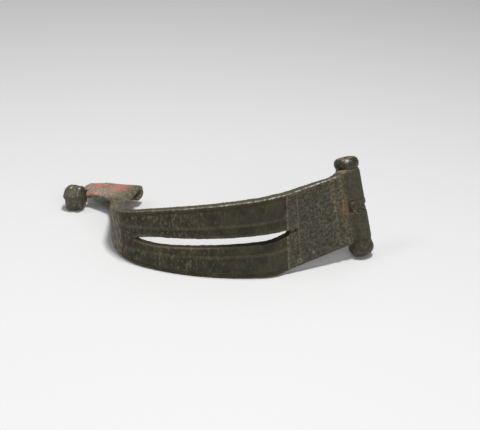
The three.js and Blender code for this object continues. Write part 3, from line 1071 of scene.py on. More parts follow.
@dataclass
class BroochBody:
    """The one-piece body: bow, head plate, hinge tube, neck, foot and catch plate.

    Sizes are in millimetres. Heights and depths are measured from the strip's plain outer face and
    places from the hinge. A span is a pair of places: nothing shows at the first and all at the
    second. Cross lines and ribs are given by place, half width and rise, spots by their middle and
    reach, and smears by strength, middle and reach.
    """

    strip: Strip
    brooch: BroochFrame
    patina: BowPatina
    voxel: float = 0.178
    smoothing: int = 3
    hinge_smoothing: int = 12
    # Faces and edges of the strip
    strip_spans: tuple = ((1.9, 2.9), (58.0, 53.0))
    strip_slack: float = 0.5
    rest_lumps: float = 0.04
    rest_grain: float = 0.02
    inner_starts: Span = (5.0, 7.0)
    inner_wave: float = 0.04
    edge_wave: float = 0.06
    edge_round: float = 0.22
    slit_opens: Span = (15.4, 15.9)
    slit_least: float = 0.02
    wall_reach: float = 0.45
    slit_bevel: float = 0.35
    slit_bevel_span: Span = (30.0, 22.0)
    # Raised lines and the step up to the tube
    cross_lines: tuple = ((16.1, 0.26, 0.1), (13.7, 0.28, 0.09))
    cross_line_fade: float = 0.1
    head_ribs: tuple = ((5.2, 0.75, 0.24), (3.3, 0.7, 0.2))
    root_rise: float = 0.3
    root_span: Span = (3.3, 1.9)
    # Panels of the bow
    groove_share: float = 0.35
    groove_half_width: float = 0.34
    groove_depth: float = 0.1
    grooves_start: float = 16.6
    grooves_run_in: float = 0.8
    grooves_end: float = 52.0
    grooves_run_out: float = 8.0
    hollow_from_edge: float = 0.75
    hollow_half_width: float = 0.55
    hollow_depth: float = 0.16
    panel_crown: float = 0.12
    panel_end_share: float = 0.9
    # Corrosion and small marks
    grain_depth: float = 0.03
    stroke_depth: float = 0.015
    leather_depth: float = 0.03
    leather_span: Span = (24.0, 40.0)
    pit_depth: float = 0.012
    head_pit_depth: float = 0.06
    head_pit_span: Span = (13.6, 12.6)
    ring_place: tuple = (13.8, -6.6)
    ring_radius: float = 0.4
    ring_half_width: float = 0.2
    ring_rise: float = 0.05
    chip_place: tuple = (10.8, -5.8)
    chip_radius: float = 0.5
    chip_depth: float = 0.12
    crack: tuple = ((49.8, -1.9), (50.3, -3.0), (51.2, -4.4))
    crack_half_width: float = 0.168
    crack_depth: float = 0.16
    notch_half_width: float = 0.2
    notch_depth: float = 0.12
    notch_spans: tuple = ((13.2, 13.7), (15.9, 15.3))
    # Hinge tube and the metal under its upper knob
    crease: float = 1.35
    crease_half_width: float = 0.8
    crease_half_length: float = 6.6
    tube_reach: float = 3.0
    tube_span: Span = (3.4, 0.6)
    tube_skin_reach: float = 3.4
    fillet_rise: float = 0.65
    fillet_reach: float = 5.6
    fillet_foot: float = 1.5
    fillet_starts: Span = (5.2, 6.6)
    end_round: float = 0.35
    end_round_starts: Span = (6.0, 7.0)
    # Wear, the arris's painted highlight, earth and rust
    bow_spans: tuple = ((15.0, 17.0), (54.0, 46.0))
    neck_start: float = 54.0
    arris_inset: float = 0.06
    arris_drop: float = 0.12
    wear_and_sheen_fades: Span = (40.0, 26.0)
    wear_and_sheen_ends: Span = (53.0, 49.0)
    wall_earth_starts: Span = (25.0, 34.0)
    lip_earth_starts: Span = (20.0, 34.0)
    foot_skin_starts: Span = (49.4, 51.4)
    head_start: float = 2.5
    head_ends: Span = (16.6, 15.6)
    neck_earth_from: float = 5.4
    stain: tuple = ((3.3, 2.2), (2.8, 4.6))
    rust: tuple = ((3.0, 0.2), (2.2, 2.6))
    slot_rust: tuple = ((1.0, -0.2), (2.2, 1.7))
    # Skin and red smears of the catch plate, in the brooch's own x and y
    plate_spans: tuple = ((45.6, 48.6), (58.5, 57.5))
    plate_deepens: Span = (47.0, 50.5)
    plate_top: Span = (7.2, 5.4)
    hook_ends: Span = (40.0, 48.0)
    smears_start: float = 46.0
    smears_top: float = 6.5
    smears: tuple = (
        (1.0, (54.5, 0.2), (2.1, 1.4)), (1.0, (50.2, 0.1), (3.4, 1.35)),
        (0.5, (49.3, 2.0), (2.8, 1.3)), (1.0, (54.0, 4.6), (2.0, 1.0)))

    def build(self) -> Piece:
        """Make the dressed body.

        Returns:
            The finished piece.
        """
        bm = bmesh.new()
        bm.from_mesh(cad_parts["brooch_body"].data)
        bmesh.ops.remove_doubles(bm, verts=bm.verts, dist=1e-6)
        piece = object_from("bow_and_foot", bm)
        voxel_skin(piece, self.voxel)
        softened(piece, self.smoothing)
        _, from_axis = self.hinge_place(self.brooch.to_brooch(positions(piece)))
        softened(piece, self.hinge_smoothing, from_axis < self.tube_reach)
        self.shape(piece)
        paint(piece, self.masks(piece))
        finish_piece(piece, self.patina.build(), "brooch_body", Slot.BOW)
        return piece

    def hinge_place(self, points: Array) -> tuple[Array, Array]:
        """Return each point's place along the hinge axis and its distance from the axis."""
        along = points @ self.strip.hinge_axis
        return along, np.linalg.norm(points - along[:, None] * self.strip.hinge_axis, axis=1)

    def survey(self, piece: Piece) -> SkinPoints:
        """Find where the body's points lie on the strip and round the hinge.

        Args:
            piece: The body.

        Returns:
            What the strip and the hinge know of each point.
        """
        points = self.brooch.to_brooch(positions(piece))
        place, across, height = self.strip.locate(points)
        _, outward, sideways = self.strip.sections(place)
        return SkinPoints(
            points, self.brooch.turn(normals(piece)), place, across, height, outward, sideways,
            self.strip.half_width(place), *self.hinge_place(points))

    def relief(self, skin: SkinPoints) -> Array:
        """Work out the outer face's height.

        Args:
            skin: The body's points.

        Returns:
            Height of each point above the plain face.
        """
        place, across = skin.place, skin.across
        height = np.zeros_like(place)
        uneven = 0.6 + 0.7 * skin.lumps(1.2, seed=71.0, octaves=2)
        for at, width, rise in self.cross_lines:
            height += rise * uneven * ridge(place - at, width)
        for at, width, rise in self.head_ribs:
            height += rise * (0.75 + 0.25 * uneven) * ridge(place - at, width)
        height += self.root_rise * smoothstep(place, *self.root_span)
        height += self.panels(skin)
        bevel = self.slit_bevel * (across < 0) * smoothstep(place, *self.slit_bevel_span)
        past_slit = self.strip.past_slit(place, across)
        for gap, radius in (
                (skin.from_edge, self.edge_round), (past_slit, self.edge_round + bevel)):
            inside = np.clip(radius - gap, 0.0, radius)
            height -= radius - np.sqrt(radius**2 - inside**2)
        return height + self.wear(skin)

    def panels(self, skin: SkinPoints) -> Array:
        """Work out the two long panels of the bow, each with a groove and a hollow beside it.

        Args:
            skin: The body's points.

        Returns:
            Height of each point above the plain face.
        """
        share = self.groove_share
        start, end = self.grooves_start, self.grooves_end
        run_in, run_out = (start, start + self.grooves_run_in), (end, end - self.grooves_run_out)
        grooved = between(skin.place, run_in, run_out)
        groove = ridge(np.abs(skin.across) - share * skin.half_width, self.groove_half_width)
        hollow = ridge(skin.from_edge - self.hollow_from_edge, self.hollow_half_width)
        middle = (share + self.panel_end_share) / 2 * skin.half_width
        half = (self.panel_end_share - share) / 2 * skin.half_width
        crown = 1.0 - np.clip(((np.abs(skin.across) - middle) / half) ** 2, 0.0, 1.0)
        sunk = self.groove_depth * groove + self.hollow_depth * hollow
        return grooved * self.panel_crown * crown - grooved * sunk

    def wear(self, skin: SkinPoints) -> Array:
        """Work out the small heights left by corrosion, blows and tools.

        Args:
            skin: The body's points.

        Returns:
            Height of each point above or below the worked face.
        """
        strokes = skin.lumps(0.75, seed=7.0, octaves=2, squeeze=(1, 1, 0.45))
        stroke_depth = self.stroke_depth + self.leather_depth * self.leather(skin)
        height = self.grain_depth * skin.lumps(1.6, seed=3.0) + stroke_depth * strokes
        pits = smoothstep(skin.lumps(0.55, seed=11.0, octaves=2), 0.1, 0.55)
        on_head = smoothstep(skin.place, *self.head_pit_span)
        height -= (self.pit_depth + self.head_pit_depth * on_head) * pits
        height += self.ring_rise * ridge(self.from_ring(skin), self.ring_half_width)
        height -= self.chip_depth * smoothstep(self.from_chip(skin), self.chip_radius, 0.1)
        height -= self.crack_depth * ridge(self.from_crack(skin), self.crack_half_width)
        height -= self.notch_depth * self.notch(skin)
        return height

    def leather(self, skin: SkinPoints) -> Array:
        """Return where the skin is wrinkled like leather: on the foot half of the bow."""
        return smoothstep(skin.place, *self.leather_span)

    def from_chip(self, skin: SkinPoints) -> Array:
        """Return the distance of each point from the small chip in the head plate's edge."""
        return np.hypot(skin.place - self.chip_place[0], skin.across - self.chip_place[1])

    def from_ring(self, skin: SkinPoints) -> Array:
        """Return the distance of each point from the small punched ring."""
        far = np.hypot(skin.place - self.ring_place[0], skin.across - self.ring_place[1])
        return np.abs(far - self.ring_radius)

    def from_crack(self, skin: SkinPoints) -> Array:
        """Measure how far each point is from the small crack at the foot end of the bow.

        Args:
            skin: The body's points.

        Returns:
            The distance of each point.
        """
        nearest = np.full(skin.place.shape, np.inf)
        for start, end in zip(self.crack, self.crack[1:]):
            run = np.array(end) - np.array(start)
            offset = np.stack([skin.place - start[0], skin.across - start[1]], axis=1)
            t = np.clip(offset @ run / (run @ run), 0.0, 1.0)
            nearest = np.minimum(nearest, np.linalg.norm(offset - t[:, None] * run, axis=1))
        return nearest

    def notch(self, skin: SkinPoints) -> Array:
        """Return the fine cut that runs on from the slit between the cross lines."""
        cut = ridge(skin.across - self.strip.slit_offset, self.notch_half_width)
        return cut * between(skin.place, *self.notch_spans)

    def shape(self, piece: Piece) -> None:
        """Set the strip's faces and edges to their true relief and roughen the rest.

        Args:
            piece: The body, whose points are moved.
        """
        skin = self.survey(piece)
        place, across, height = skin.place, skin.across, skin.height
        thickness = self.strip.thickness(place)
        ragged = self.edge_wave * skin.lumps(1.5, seed=31.0, squeeze=(1, 1, 0.3))
        in_strip = between(place, *self.strip_spans)
        in_strip *= (skin.from_edge > -self.strip_slack) & (height < 0.6)
        in_strip *= height > -thickness - self.strip_slack

        outer = in_strip * smoothstep(skin.out, *FACES_OUT)
        inner = in_strip * smoothstep(-skin.out, *FACES_OUT)
        inner *= smoothstep(place, *self.inner_starts)
        under = -thickness + self.inner_wave * skin.lumps(1.4, seed=23.0)
        rise = outer * (self.relief(skin) - height) + inner * (under - height)

        edge = in_strip * smoothstep(skin.side * np.sign(across), *FACES_EDGE)
        shift = edge * (skin.half_width + ragged - np.abs(across)) * np.sign(across)
        whole_slit = self.strip.slit(place)
        slit = whole_slit * smoothstep(place, *self.slit_opens)
        off_middle = across - self.strip.slit_offset
        wall = in_strip * smoothstep(-skin.side * np.sign(off_middle), *FACES_WALL)
        wall *= (whole_slit > self.slit_least) & (np.abs(off_middle) < slit + self.wall_reach)
        gap = np.maximum(slit + ragged, self.slit_least / 2)
        shift += wall * (gap - np.abs(off_middle)) * np.sign(off_middle)

        moved = skin.points + skin.outward * rise[:, None] + skin.sideways * shift[:, None]
        rest = 1.0 - np.clip(outer + inner + edge + wall, 0.0, 1.0)
        coarse, fine = skin.lumps(1.3, seed=41.0), skin.lumps(0.5, seed=43.0, octaves=2)
        rough = self.rest_lumps * coarse + self.rest_grain * fine
        moved += skin.facing * (rest * rough)[:, None]
        moved += self.fillet(skin)
        move_to(piece, self.brooch.to_model(moved))

    def fillet(self, skin: SkinPoints) -> Array:
        """Raise the metal round the upper knob in a hollow slope and round the tube's end.

        Args:
            skin: The body's points.

        Returns:
            How far each point moves.
        """
        axis = self.strip.hinge_axis
        slope = (self.fillet_reach - skin.from_axis) / (self.fillet_reach - self.fillet_foot)
        near = np.clip(slope, 0.0, 1.0) ** 1.8
        end = smoothstep(skin.along_hinge, *self.fillet_starts)
        inward = skin.along_hinge[:, None] * axis - skin.points
        inward /= np.linalg.norm(inward, axis=1)[:, None] + 1e-6
        rounding = smoothstep(skin.along_hinge, *self.end_round_starts)
        rounding *= smoothstep(skin.from_axis, 1.5, 2.3)
        rounding *= self.end_round * smoothstep(skin.place, 1.6, 0.4)
        return (self.fillet_rise * near * end)[:, None] * axis + rounding[:, None] * inward

    def masks(self, piece: Piece) -> Masks:
        """Work out where the body is worn, stained, cracked or smeared with red.

        Args:
            piece: The shaped body.

        Returns:
            Masks of 0 to 1 by name; those named from_ are distances in millimetres.
        """
        skin = self.survey(piece)
        return {
            "leather": self.leather(skin), "crease_shade_and_cracks": self.crease_shade_and_cracks(skin), **self.line_masks(skin),
            **self.bow_masks(skin), **self.hinge_masks(skin), **self.foot_masks(skin)}

    def line_masks(self, skin: SkinPoints) -> Masks:
        """Work out how far the skin is from its rubbed lines and the arris's painted highlight.

        Args:
            skin: The body's points.

        Returns:
            Masks of arrises, cross and panel lines, and the strength of wear and painted highlight.
        """
        place, across, faint = skin.place, skin.across, 1.0 - skin.patchy
        upper = across > 0
        arris = np.hypot(skin.from_edge - self.arris_inset, skin.height + self.arris_drop)
        on_strip = (place > self.head_start) & (place < self.neck_start)
        arris = np.where(on_strip, arris, PAST_LINES) + 0.08 * faint
        lines = np.min([np.abs(place + skin.wander - at) + self.cross_line_fade * number
                        for number, (at, _, _) in enumerate(self.cross_lines)], axis=0)
        to_panel = np.abs(
            np.abs(across) - self.groove_share * skin.half_width - 0.5 + skin.wander)
        past_slit = self.strip.past_slit(place, across)
        to_lip = np.where(upper, np.abs(past_slit - 0.3), PAST_LINES)
        on_panels = skin.is_outer * self.on_bow(skin) > 0.3
        panel_line = np.where(on_panels, np.minimum(to_panel, to_lip), PAST_LINES)
        marks = 0.5 * skin.is_outer * smoothstep(self.from_chip(skin), 0.45, 0.1)
        ring = 0.3 * skin.is_outer * ridge(self.from_ring(skin), 0.22)
        # Rubbed edge and painted highlight along the upper arris, stronger towards the head.
        wear_and_sheen = 0.3 + 0.7 * smoothstep(place, *self.wear_and_sheen_fades)
        return {
            "wear_and_sheen": wear_and_sheen * smoothstep(place, *self.wear_and_sheen_ends),
            "from_upper_arris": np.where(upper, arris, PAST_LINES),
            "from_lower_arris": np.where(upper, PAST_LINES, arris),
            "from_cross_line": np.where(skin.is_outer > 0.3, lines, PAST_LINES) + 0.1 * faint,
            "from_panel_line": panel_line + 0.12 * faint,
            "worn": np.maximum(marks, ring),
        }

    def on_bow(self, skin: SkinPoints) -> Array:
        """Return which points lie on the bow itself, between the head plate and the neck."""
        return between(skin.place, *self.bow_spans)

    def bow_masks(self, skin: SkinPoints) -> Masks:
        """Work out where earth and other skins lie along the bow.

        Args:
            skin: The body's points.

        Returns:
            The masks earth, slit_wall, rim and foot_end.
        """
        place, across = skin.place, skin.across
        upper = across > 0
        shade = 0.55 + 0.45 * skin.patchy
        hollow = ridge(skin.from_edge - 0.62, 0.75) * np.where(upper, 1.0, 0.35)
        groove = ridge(np.abs(across) - self.groove_share * skin.half_width, 0.5) * 0.6
        earth = skin.is_outer * self.on_bow(skin) * np.clip(hollow + groove, 0.0, 1.0) * shade

        past_slit = self.strip.past_slit(place, across)
        wall = (past_slit < 0.35) * skin.on_upper_edge * (across < 0)
        wall = wall * smoothstep(skin.height, -1.42, -1.2)
        wall = wall * smoothstep(place, *self.wall_earth_starts)
        lip = skin.is_outer * ridge(past_slit - 0.15, 0.3) * (across < 0)
        lip = lip * smoothstep(place, *self.lip_earth_starts)
        rim = (skin.from_edge < 0.3) * skin.on_upper_edge * upper * (place < self.neck_start)
        foot_end = smoothstep(place + 3.0 * skin.wander, *self.foot_skin_starts)
        return {
            "earth": earth,
            "slit_wall": np.maximum(wall, 0.2 * lip),
            "rim": rim,
            "foot_end": foot_end * (0.75 + 0.25 * skin.patchy),
        }

    def hinge_masks(self, skin: SkinPoints) -> Masks:
        """Work out the skins of the head plate and the hinge tube, with their rust and earth.

        Args:
            skin: The body's points.

        Returns:
            The masks rib, rust, head, tube and neck_earth.
        """
        place, across, is_outer = skin.place, skin.across, skin.is_outer
        ribs = sum(ridge(place + skin.wander - at, width * 1.3) for at, width, _ in self.head_ribs)
        ribs = is_outer * np.clip(ribs, 0.0, 1.0) * (0.45 + 0.55 * smoothstep(across, -4.5, 0.5))
        stained = spot(place, across, *self.stain) * (0.3 + 0.4 * skin.patchy) * is_outer
        rust = spot(place, across, *self.rust) * (0.5 + 0.5 * skin.patchy)
        slot_rust = 0.5 * spot(place, across, *self.slot_rust)
        on_tube = smoothstep(place, *self.tube_span) * (skin.from_axis < self.tube_skin_reach)
        upward = smoothstep(skin.facing @ self.strip.hinge_axis, 0.1, 0.5)
        upward = upward * (skin.along_hinge > self.neck_earth_from)
        packed = smoothstep(skin.from_axis, 3.6, 2.4) * smoothstep(place, 0.2, 1.4)
        return {
            "rib": np.maximum(ribs, stained),
            "rust": np.maximum(rust, slot_rust),
            "head": np.maximum(smoothstep(place, *self.head_ends) * is_outer, on_tube),
            "tube": on_tube,
            "neck_earth": 0.8 * packed * upward,
        }

    def crease_shade_and_cracks(self, skin: SkinPoints) -> Array:
        """Work out the painted shade in the crease by the tube and the dark of the crack and cut.

        Args:
            skin: The body's points.

        Returns:
            The darkness of each point, from 0 to 1.
        """
        off_crease = skin.place + 0.4 * skin.wander - self.crease
        crease = ridge(off_crease, self.crease_half_width) * smoothstep(skin.out, -0.3, 0.2)
        crease = crease * (np.abs(skin.across) < self.crease_half_length)
        # Painted shade: the crease is darkened as if in shadow, more towards the lower edge.
        dark = 0.35 * smoothstep(skin.across, 4.0, -3.0) * crease * (0.55 + 0.45 * skin.patchy)
        dark = np.maximum(dark, 0.75 * ridge(self.from_crack(skin), 0.17) * skin.is_outer)
        return np.maximum(dark, 0.35 * self.notch(skin) * skin.is_outer)

    def foot_masks(self, skin: SkinPoints) -> Masks:
        """Work out the skin of the catch plate and its red smears, which form no sign or letter.

        Args:
            skin: The body's points.

        Returns:
            The masks plate, smear and hook_painted_light, the last painted light on the hook's
            inside.
        """
        x, y, z = skin.points.T
        up = skin.facing[:, 2]
        plate = between(x, *self.plate_spans) * smoothstep(y, *self.plate_top)
        plate *= smoothstep(up, -0.3, 0.4) * (0.55 + 0.45 * smoothstep(x, *self.plate_deepens))
        smear = np.max([strength * spot(x, y, middle, reach)
                        for strength, middle, reach in self.smears], axis=0)
        streaks = skin.lumps(0.9, seed=61.0, octaves=2, squeeze=(1, 0.6, 1))
        smear = smear * smoothstep(streaks, -0.55, 0.0) * (up > 0.2)
        smear = smear * (y < self.smears_top) * (x > self.smears_start)
        hook_start, hook_end = self.hook_ends
        # Painted light: the hook's down-facing inside is made light brown, as if lit.
        inside = smoothstep(up, -0.2, -0.6) * (x > hook_start) * (x < hook_end) * (z < 0.0)
        inside = 0.8 * inside * smoothstep(y, 7.0, 5.0)
        return {"plate": plate, "smear": smear, "hook_painted_light": inside}


# Knobs, bar and pin


@dataclass
class Knob:
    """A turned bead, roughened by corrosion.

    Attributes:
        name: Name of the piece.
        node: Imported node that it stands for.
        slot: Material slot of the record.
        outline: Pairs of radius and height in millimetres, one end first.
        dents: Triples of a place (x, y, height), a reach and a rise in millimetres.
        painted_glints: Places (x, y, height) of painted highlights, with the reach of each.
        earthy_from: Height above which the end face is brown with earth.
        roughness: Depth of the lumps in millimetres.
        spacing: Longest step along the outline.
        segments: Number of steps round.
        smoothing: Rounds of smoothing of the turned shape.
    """

    name: str
    node: str
    slot: Slot
    outline: list
    dents: list = field(default_factory=list)
    painted_glints: list = field(default_factory=list)
    earthy_from: float = 99.0
    roughness: float = 0.06
    spacing: float = 0.12
    segments: int = 112
    smoothing: int = 4

    def build(self, place: Matrix, material: Material) -> Piece:
        """Turn the bead, dent and roughen it, and set it in its place.

        Args:
            place: Takes the bead's millimetres, its axis along z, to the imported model.
            material: The bead's material.

        Returns:
            The finished piece.
        """
        bm = turned_shape(even_outline(self.outline, self.spacing), self.segments)
        piece = object_from(self.name, bm)
        softened(piece, self.smoothing)
        points = positions(piece)
        facing = normals(piece)
        coarse = lumps(points, 1.7, seed=5.0)
        fine = lumps(points, 0.5, seed=9.0, octaves=2)
        rise = self.roughness * coarse + 0.4 * self.roughness * fine
        for centre, reach, depth in self.dents:
            rise += depth * smoothstep(distance_to(centre, points), reach, 0.0)
        self.paint(piece, points)
        piece.data.vertices.foreach_set("co", (points + facing * rise[:, None]).ravel())
        piece.data.transform(place)
        move_to(piece, positions(piece))
        finish_piece(piece, material, self.node, self.slot)
        return piece

    def paint(self, piece: Piece, points: Array) -> None:
        """Store where the bead gets painted highlights and where its end is brown with earth.

        Args:
            piece: The bead.
            points: Its points before it was set in its place.
        """
        # Painted highlights at the listed places on the rim.
        painted_glint = np.zeros(len(points))
        for centre, reach in self.painted_glints:
            bright = smoothstep(distance_to(centre, points), reach, 0.3 * reach)
            painted_glint = np.maximum(painted_glint, bright)
        radius = np.hypot(points[:, 0], points[:, 1])
        end = smoothstep(points[:, 2], self.earthy_from, self.earthy_from + 0.12)
        paint(piece, {"painted_glint": painted_glint, "earthy": end * smoothstep(radius, 1.9, 1.3)})


def distance_to(centre: tuple, points: Array) -> Array:
    """Return the distance of each point from a place."""
    return np.linalg.norm(points - np.array(centre), axis=1)


@dataclass
class PinHead(Knob):
    """The rusty lump that is left of the pin's head."""

    def paint(self, piece: Piece, points: Array) -> None:
        """Store where the lump is dark with rust and painted shade: in the middle of its slot.

        Args:
            piece: The lump.
            points: Its points before it was set in its place.
        """
        rust_and_shade = smoothstep(np.abs(points[:, 2] + 0.7), 1.1, 0.6)
        broken = smoothstep(lumps(points, 1.9, seed=13.0), -0.3, 0.25)
        paint(piece, {"rust_and_shade": rust_and_shade * (0.4 + 0.6 * broken)})


def axis_place(brooch: BroochFrame, origin: Array, direction: Array) -> Matrix:
    """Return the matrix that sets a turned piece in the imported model.

    Args:
        brooch: The brooch's frame.
        origin: Where the piece's seat is, in the brooch's millimetres.
        direction: Where its axis points, in the brooch's frame.

    Returns:
        A matrix from the piece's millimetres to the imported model's metres.
    """
    z = direction / np.linalg.norm(direction)
    x = np.cross([0.0, 1.0, 0.0], z)
    x /= np.linalg.norm(x)
    local = np.eye(4)
    local[:3, :3] = np.stack([x, np.cross(z, x), z], axis=1)
    local[:3, 3] = origin
    return brooch.matrix() @ Matrix(local.tolist())


@dataclass
class Hinge:
    """The hinge bar, its two knobs and what is left of the pin's head."""

    strip: Strip
    brooch: BroochFrame
    seat: float = 6.9
    upper: Knob = field(default_factory=lambda: Knob(
        "upper_hinge_knob", "hinge_knob_upper", Slot.KNOB,
        [(0.0, -0.3), (1.5, -0.3), (1.7, 0.0), (2.0, 0.15), (2.22, 0.45), (2.36, 0.85), (2.38, 1.3),
         (2.3, 1.6), (2.12, 1.93), (1.8, 2.14), (1.4, 2.22), (0.9, 2.25), (0.0, 2.26)],
        dents=[((-0.6, 0.9, 2.2), 1.3, -0.14), ((-1.9, 0.6, 1.2), 1.2, 0.06),
               ((0.2, 2.2, 0.9), 1.3, -0.08)],
        painted_glints=[((-0.9, 1.6, 1.95), 0.75), ((-0.2, 1.8, 1.9), 0.4), ((0.5, 1.95, 1.75), 0.22)],
        earthy_from=1.85, roughness=0.045))
    lower: Knob = field(default_factory=lambda: Knob(
        "lower_hinge_knob", "hinge_knob_lower", Slot.KNOB,
        [(0.0, -0.25), (2.15, -0.25), (2.16, 0.15), (2.22, 0.5), (2.36, 0.95), (2.4, 1.35),
         (2.33, 1.8), (2.1, 2.25), (1.7, 2.6), (1.15, 2.84), (0.6, 2.93), (0.0, 2.95)],
        dents=[((2.0, 1.0, 1.2), 1.5, -0.1)]))
    bar: Knob = field(default_factory=lambda: Knob(
        "hinge_bar", "hinge_axis_bar", Slot.IRON,
        [(0.0, -8.55), (0.8, -8.55), (0.85, -8.4), (0.84, 8.6), (0.8, 9.05), (0.55, 9.15),
         (0.0, 9.16)],
        roughness=0.03, segments=40, spacing=0.3))
    pin_head: PinHead = field(default_factory=lambda: PinHead(
        "pin_head_rust", "pin_head_remains", Slot.IRON,
        [(0.0, -1.15), (2.15, -1.15), (2.2, -0.85), (2.12, -0.4), (2.1, -0.1), (2.22, 0.25),
         (2.26, 0.65), (2.2, 1.15), (0.0, 1.15)],
        roughness=0.2, segments=80))

    def build(self, patina: Material, iron: Material, pin_rust: Material) -> None:
        """Make the hinge's pieces.

        Args:
            patina: Patina of the knobs.
            iron: Rust of the bar.
            pin_rust: Rust of the pin's remains.
        """
        axis = self.strip.hinge_axis
        self.upper.build(axis_place(self.brooch, axis * self.seat, axis), patina)
        self.lower.build(axis_place(self.brooch, -axis * self.seat, -axis), patina)
        self.bar.build(axis_place(self.brooch, np.zeros(3), axis), iron)
        self.pin_head.build(axis_place(self.brooch, np.zeros(3), axis), pin_rust)


@dataclass
class Foot:
    """The barrel-shaped knob let onto the end of the foot."""

    brooch: BroochFrame
    seat: tuple = (55.4, 5.3, 0.0)
    rise: float = 4.0
    knob: Knob = field(default_factory=lambda: Knob(
        "foot_end_knob", "foot_knob", Slot.KNOB,
        [(0.0, 0.0), (1.95, 0.0), (2.12, 0.2), (2.15, 0.4), (2.05, 0.7), (2.1, 0.95), (2.3, 1.35),
         (2.4, 1.9), (2.38, 2.5), (2.2, 3.0), (1.9, 3.35), (1.3, 3.6), (0.0, 3.65)],
        dents=[((0.6, 1.4, 3.5), 1.1, -0.3), ((-1.1, 0.6, 3.6), 1.2, 0.1),
               ((2.1, 1.5, 1.8), 2.0, 0.2), ((2.3, 0.8, 0.8), 1.4, 0.35),
               ((2.0, 1.2, 2.9), 1.5, 0.32), ((0.0, 1.7, 3.2), 0.8, -0.35)],
        painted_glints=[((-2.35, 0.6, 1.8), 0.5), ((-2.2, 0.5, 0.3), 0.5)], roughness=0.13))

    def build(self, material: Material) -> None:
        """Make the knob.

        Args:
            material: Its patina.
        """
        angle = math.radians(self.rise)
        direction = np.array([math.cos(angle), math.sin(angle), 0.0])
        self.knob.build(axis_place(self.brooch, np.array(self.seat), direction), material)


# Floor, light and camera


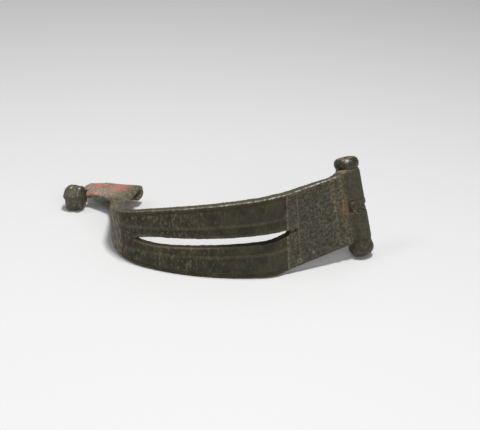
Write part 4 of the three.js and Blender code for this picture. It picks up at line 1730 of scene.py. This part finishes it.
@dataclass
class Studio:
    """A pale floor that sweeps up behind the brooch, soft lamps and the camera.

    Sizes are in metres, angles in degrees and powers in watts. The camera's place and what it looks
    at are in millimetres from the middle of the hinge.
    """

    brooch: BroochFrame
    floor_colour: str = "e8e8e8"
    floor_half: float = 0.9
    sweep_start: float = 0.25
    sweep_rise: float = 0.35
    sky: float = 0.21
    pool_place: tuple = (0.14, -0.05, 0.87)
    pool_target: tuple = (0.01, -0.075, 0.0)
    pool_power: float = 23.8
    pool_angle: float = 36.0
    pool_lamp_radius: float = 0.09
    soft_lamps: tuple = (
        ("left_lamp", (-0.5, -0.3, 0.85), 0.3, 0.9), ("right_lamp", (0.6, -0.65, 0.55), 0.6, 2.3))
    camera_from_hinge: tuple = (147.28, -377.98, 195.49)
    target_from_hinge: tuple = (-19.22, -9.48, -1.81)
    lens: float = 178.9

    def build(self) -> None:
        """Make the floor, the lamps, the world and the camera."""
        self.floor()
        self.pool_lamp()
        for name, place, size, power in self.soft_lamps:
            self.soft_lamp(name, place, size, power)
        world = bpy.data.worlds.new("studio")
        world.use_nodes = True
        background = world.node_tree.nodes["Background"]
        background.inputs["Color"].default_value = (1.0, 1.0, 1.0, 1.0)
        background.inputs["Strength"].default_value = self.sky
        bpy.context.scene.world = world
        bpy.context.scene.view_settings.view_transform = "Standard"
        self.camera()

    def floor(self) -> None:
        """Make the floor and its sweep."""
        bm = bmesh.new()
        bmesh.ops.create_grid(bm, x_segments=2, y_segments=90, size=self.floor_half)
        for vert in bm.verts:
            beyond = max(0.0, vert.co.y - self.sweep_start)
            vert.co.z = self.sweep_rise * (beyond / self.floor_half) ** 2
        floor = object_from("floor", bm)
        floor.data.shade_smooth()
        shader = Shader("floor_paper")
        shader.surface.inputs["Base Color"].default_value = colour(self.floor_colour)
        shader.surface.inputs["Roughness"].default_value = 0.9
        shader.surface.inputs["Specular IOR Level"].default_value = 0.1
        floor.data.materials.append(shader.material)

    def hang(self, data: bpy.types.Light, place: tuple, target: tuple) -> None:
        """Hang a lamp.

        Args:
            data: The lamp's data, whose name the lamp takes.
            place: Where it hangs.
            target: Where it points.
        """
        lamp = bpy.data.objects.new(data.name, data)
        lamp.location = place
        lamp.rotation_euler = (Vector(target) - Vector(place)).to_track_quat("-Z", "Y").to_euler()
        bpy.context.scene.collection.objects.link(lamp)

    def pool_lamp(self) -> None:
        """Hang the main lamp, whose pool of light fades softly outwards."""
        data = bpy.data.lights.new("pool_lamp", "SPOT")
        data.energy = self.pool_power
        data.spot_size = math.radians(self.pool_angle)
        data.spot_blend = 1.0
        data.shadow_soft_size = self.pool_lamp_radius
        self.hang(data, self.pool_place, self.pool_target)

    def soft_lamp(self, name: str, place: tuple, size: float, power: float) -> None:
        """Hang a soft square lamp that points at the brooch.

        Args:
            name: The lamp's name.
            place: Where it hangs.
            size: Length of its side.
            power: Its strength in watts.
        """
        data = bpy.data.lights.new(name, "AREA")
        data.size = size
        data.energy = power
        self.hang(data, place, (0.0, 0.0, 0.0))

    def camera(self) -> None:
        """Set the camera in front of the bow, a little above it."""
        data = bpy.data.cameras.new("camera")
        data.lens = self.lens
        data.sensor_width = 36.0
        data.clip_start = 0.01
        camera = bpy.data.objects.new("camera", data)
        hinge = Vector(self.brooch.origin)
        camera.location = hinge + Vector(self.camera_from_hinge) * MM
        towards = Vector(self.target_from_hinge) - Vector(self.camera_from_hinge)
        camera.rotation_euler = towards.to_track_quat("-Z", "Y").to_euler()
        bpy.context.scene.collection.objects.link(camera)
        bpy.context.scene.camera = camera


def main() -> None:
    """Build the brooch and its studio."""
    strip = Strip()
    brooch = find_brooch_frame(strip)
    log.info("hinge at %s, axes %s", brooch.origin.round(6), brooch.axes.round(5).tolist())
    BroochBody(strip, brooch, BowPatina("bow_patina")).build()
    knobs = Patina(
        "knob_patina", deep="27241a", plain="3f3b2c", pale="726a55", strokes=0.6, gloss=0.25,
        dull=0.6, shine=0.36).build()
    foot_patina = Patina(
        "foot_knob_patina", deep="37342a", plain="555140", pale="8b8570", strokes=0.8, gloss=0.2,
        dull=0.6, shine=0.4, pitting=0.12).build()
    iron = Patina(
        "rusted_iron", deep="2c2016", plain="553c2c", pale="86654a", brown="6b3f28", gloss=0.65,
        dull=0.9, pitting=0.09).build()
    pin_rust = PinRust(
        "pin_rust", deep="38332a", plain="544a3a", pale="7d6d58", brown="5f4d3d", gloss=0.6,
        dull=0.85, pitting=0.1).build()
    Hinge(strip, brooch).build(knobs, iron, pin_rust)
    Foot(brooch).build(foot_patina)
    Studio(brooch).build()


if __name__ == "__main__":
    main()
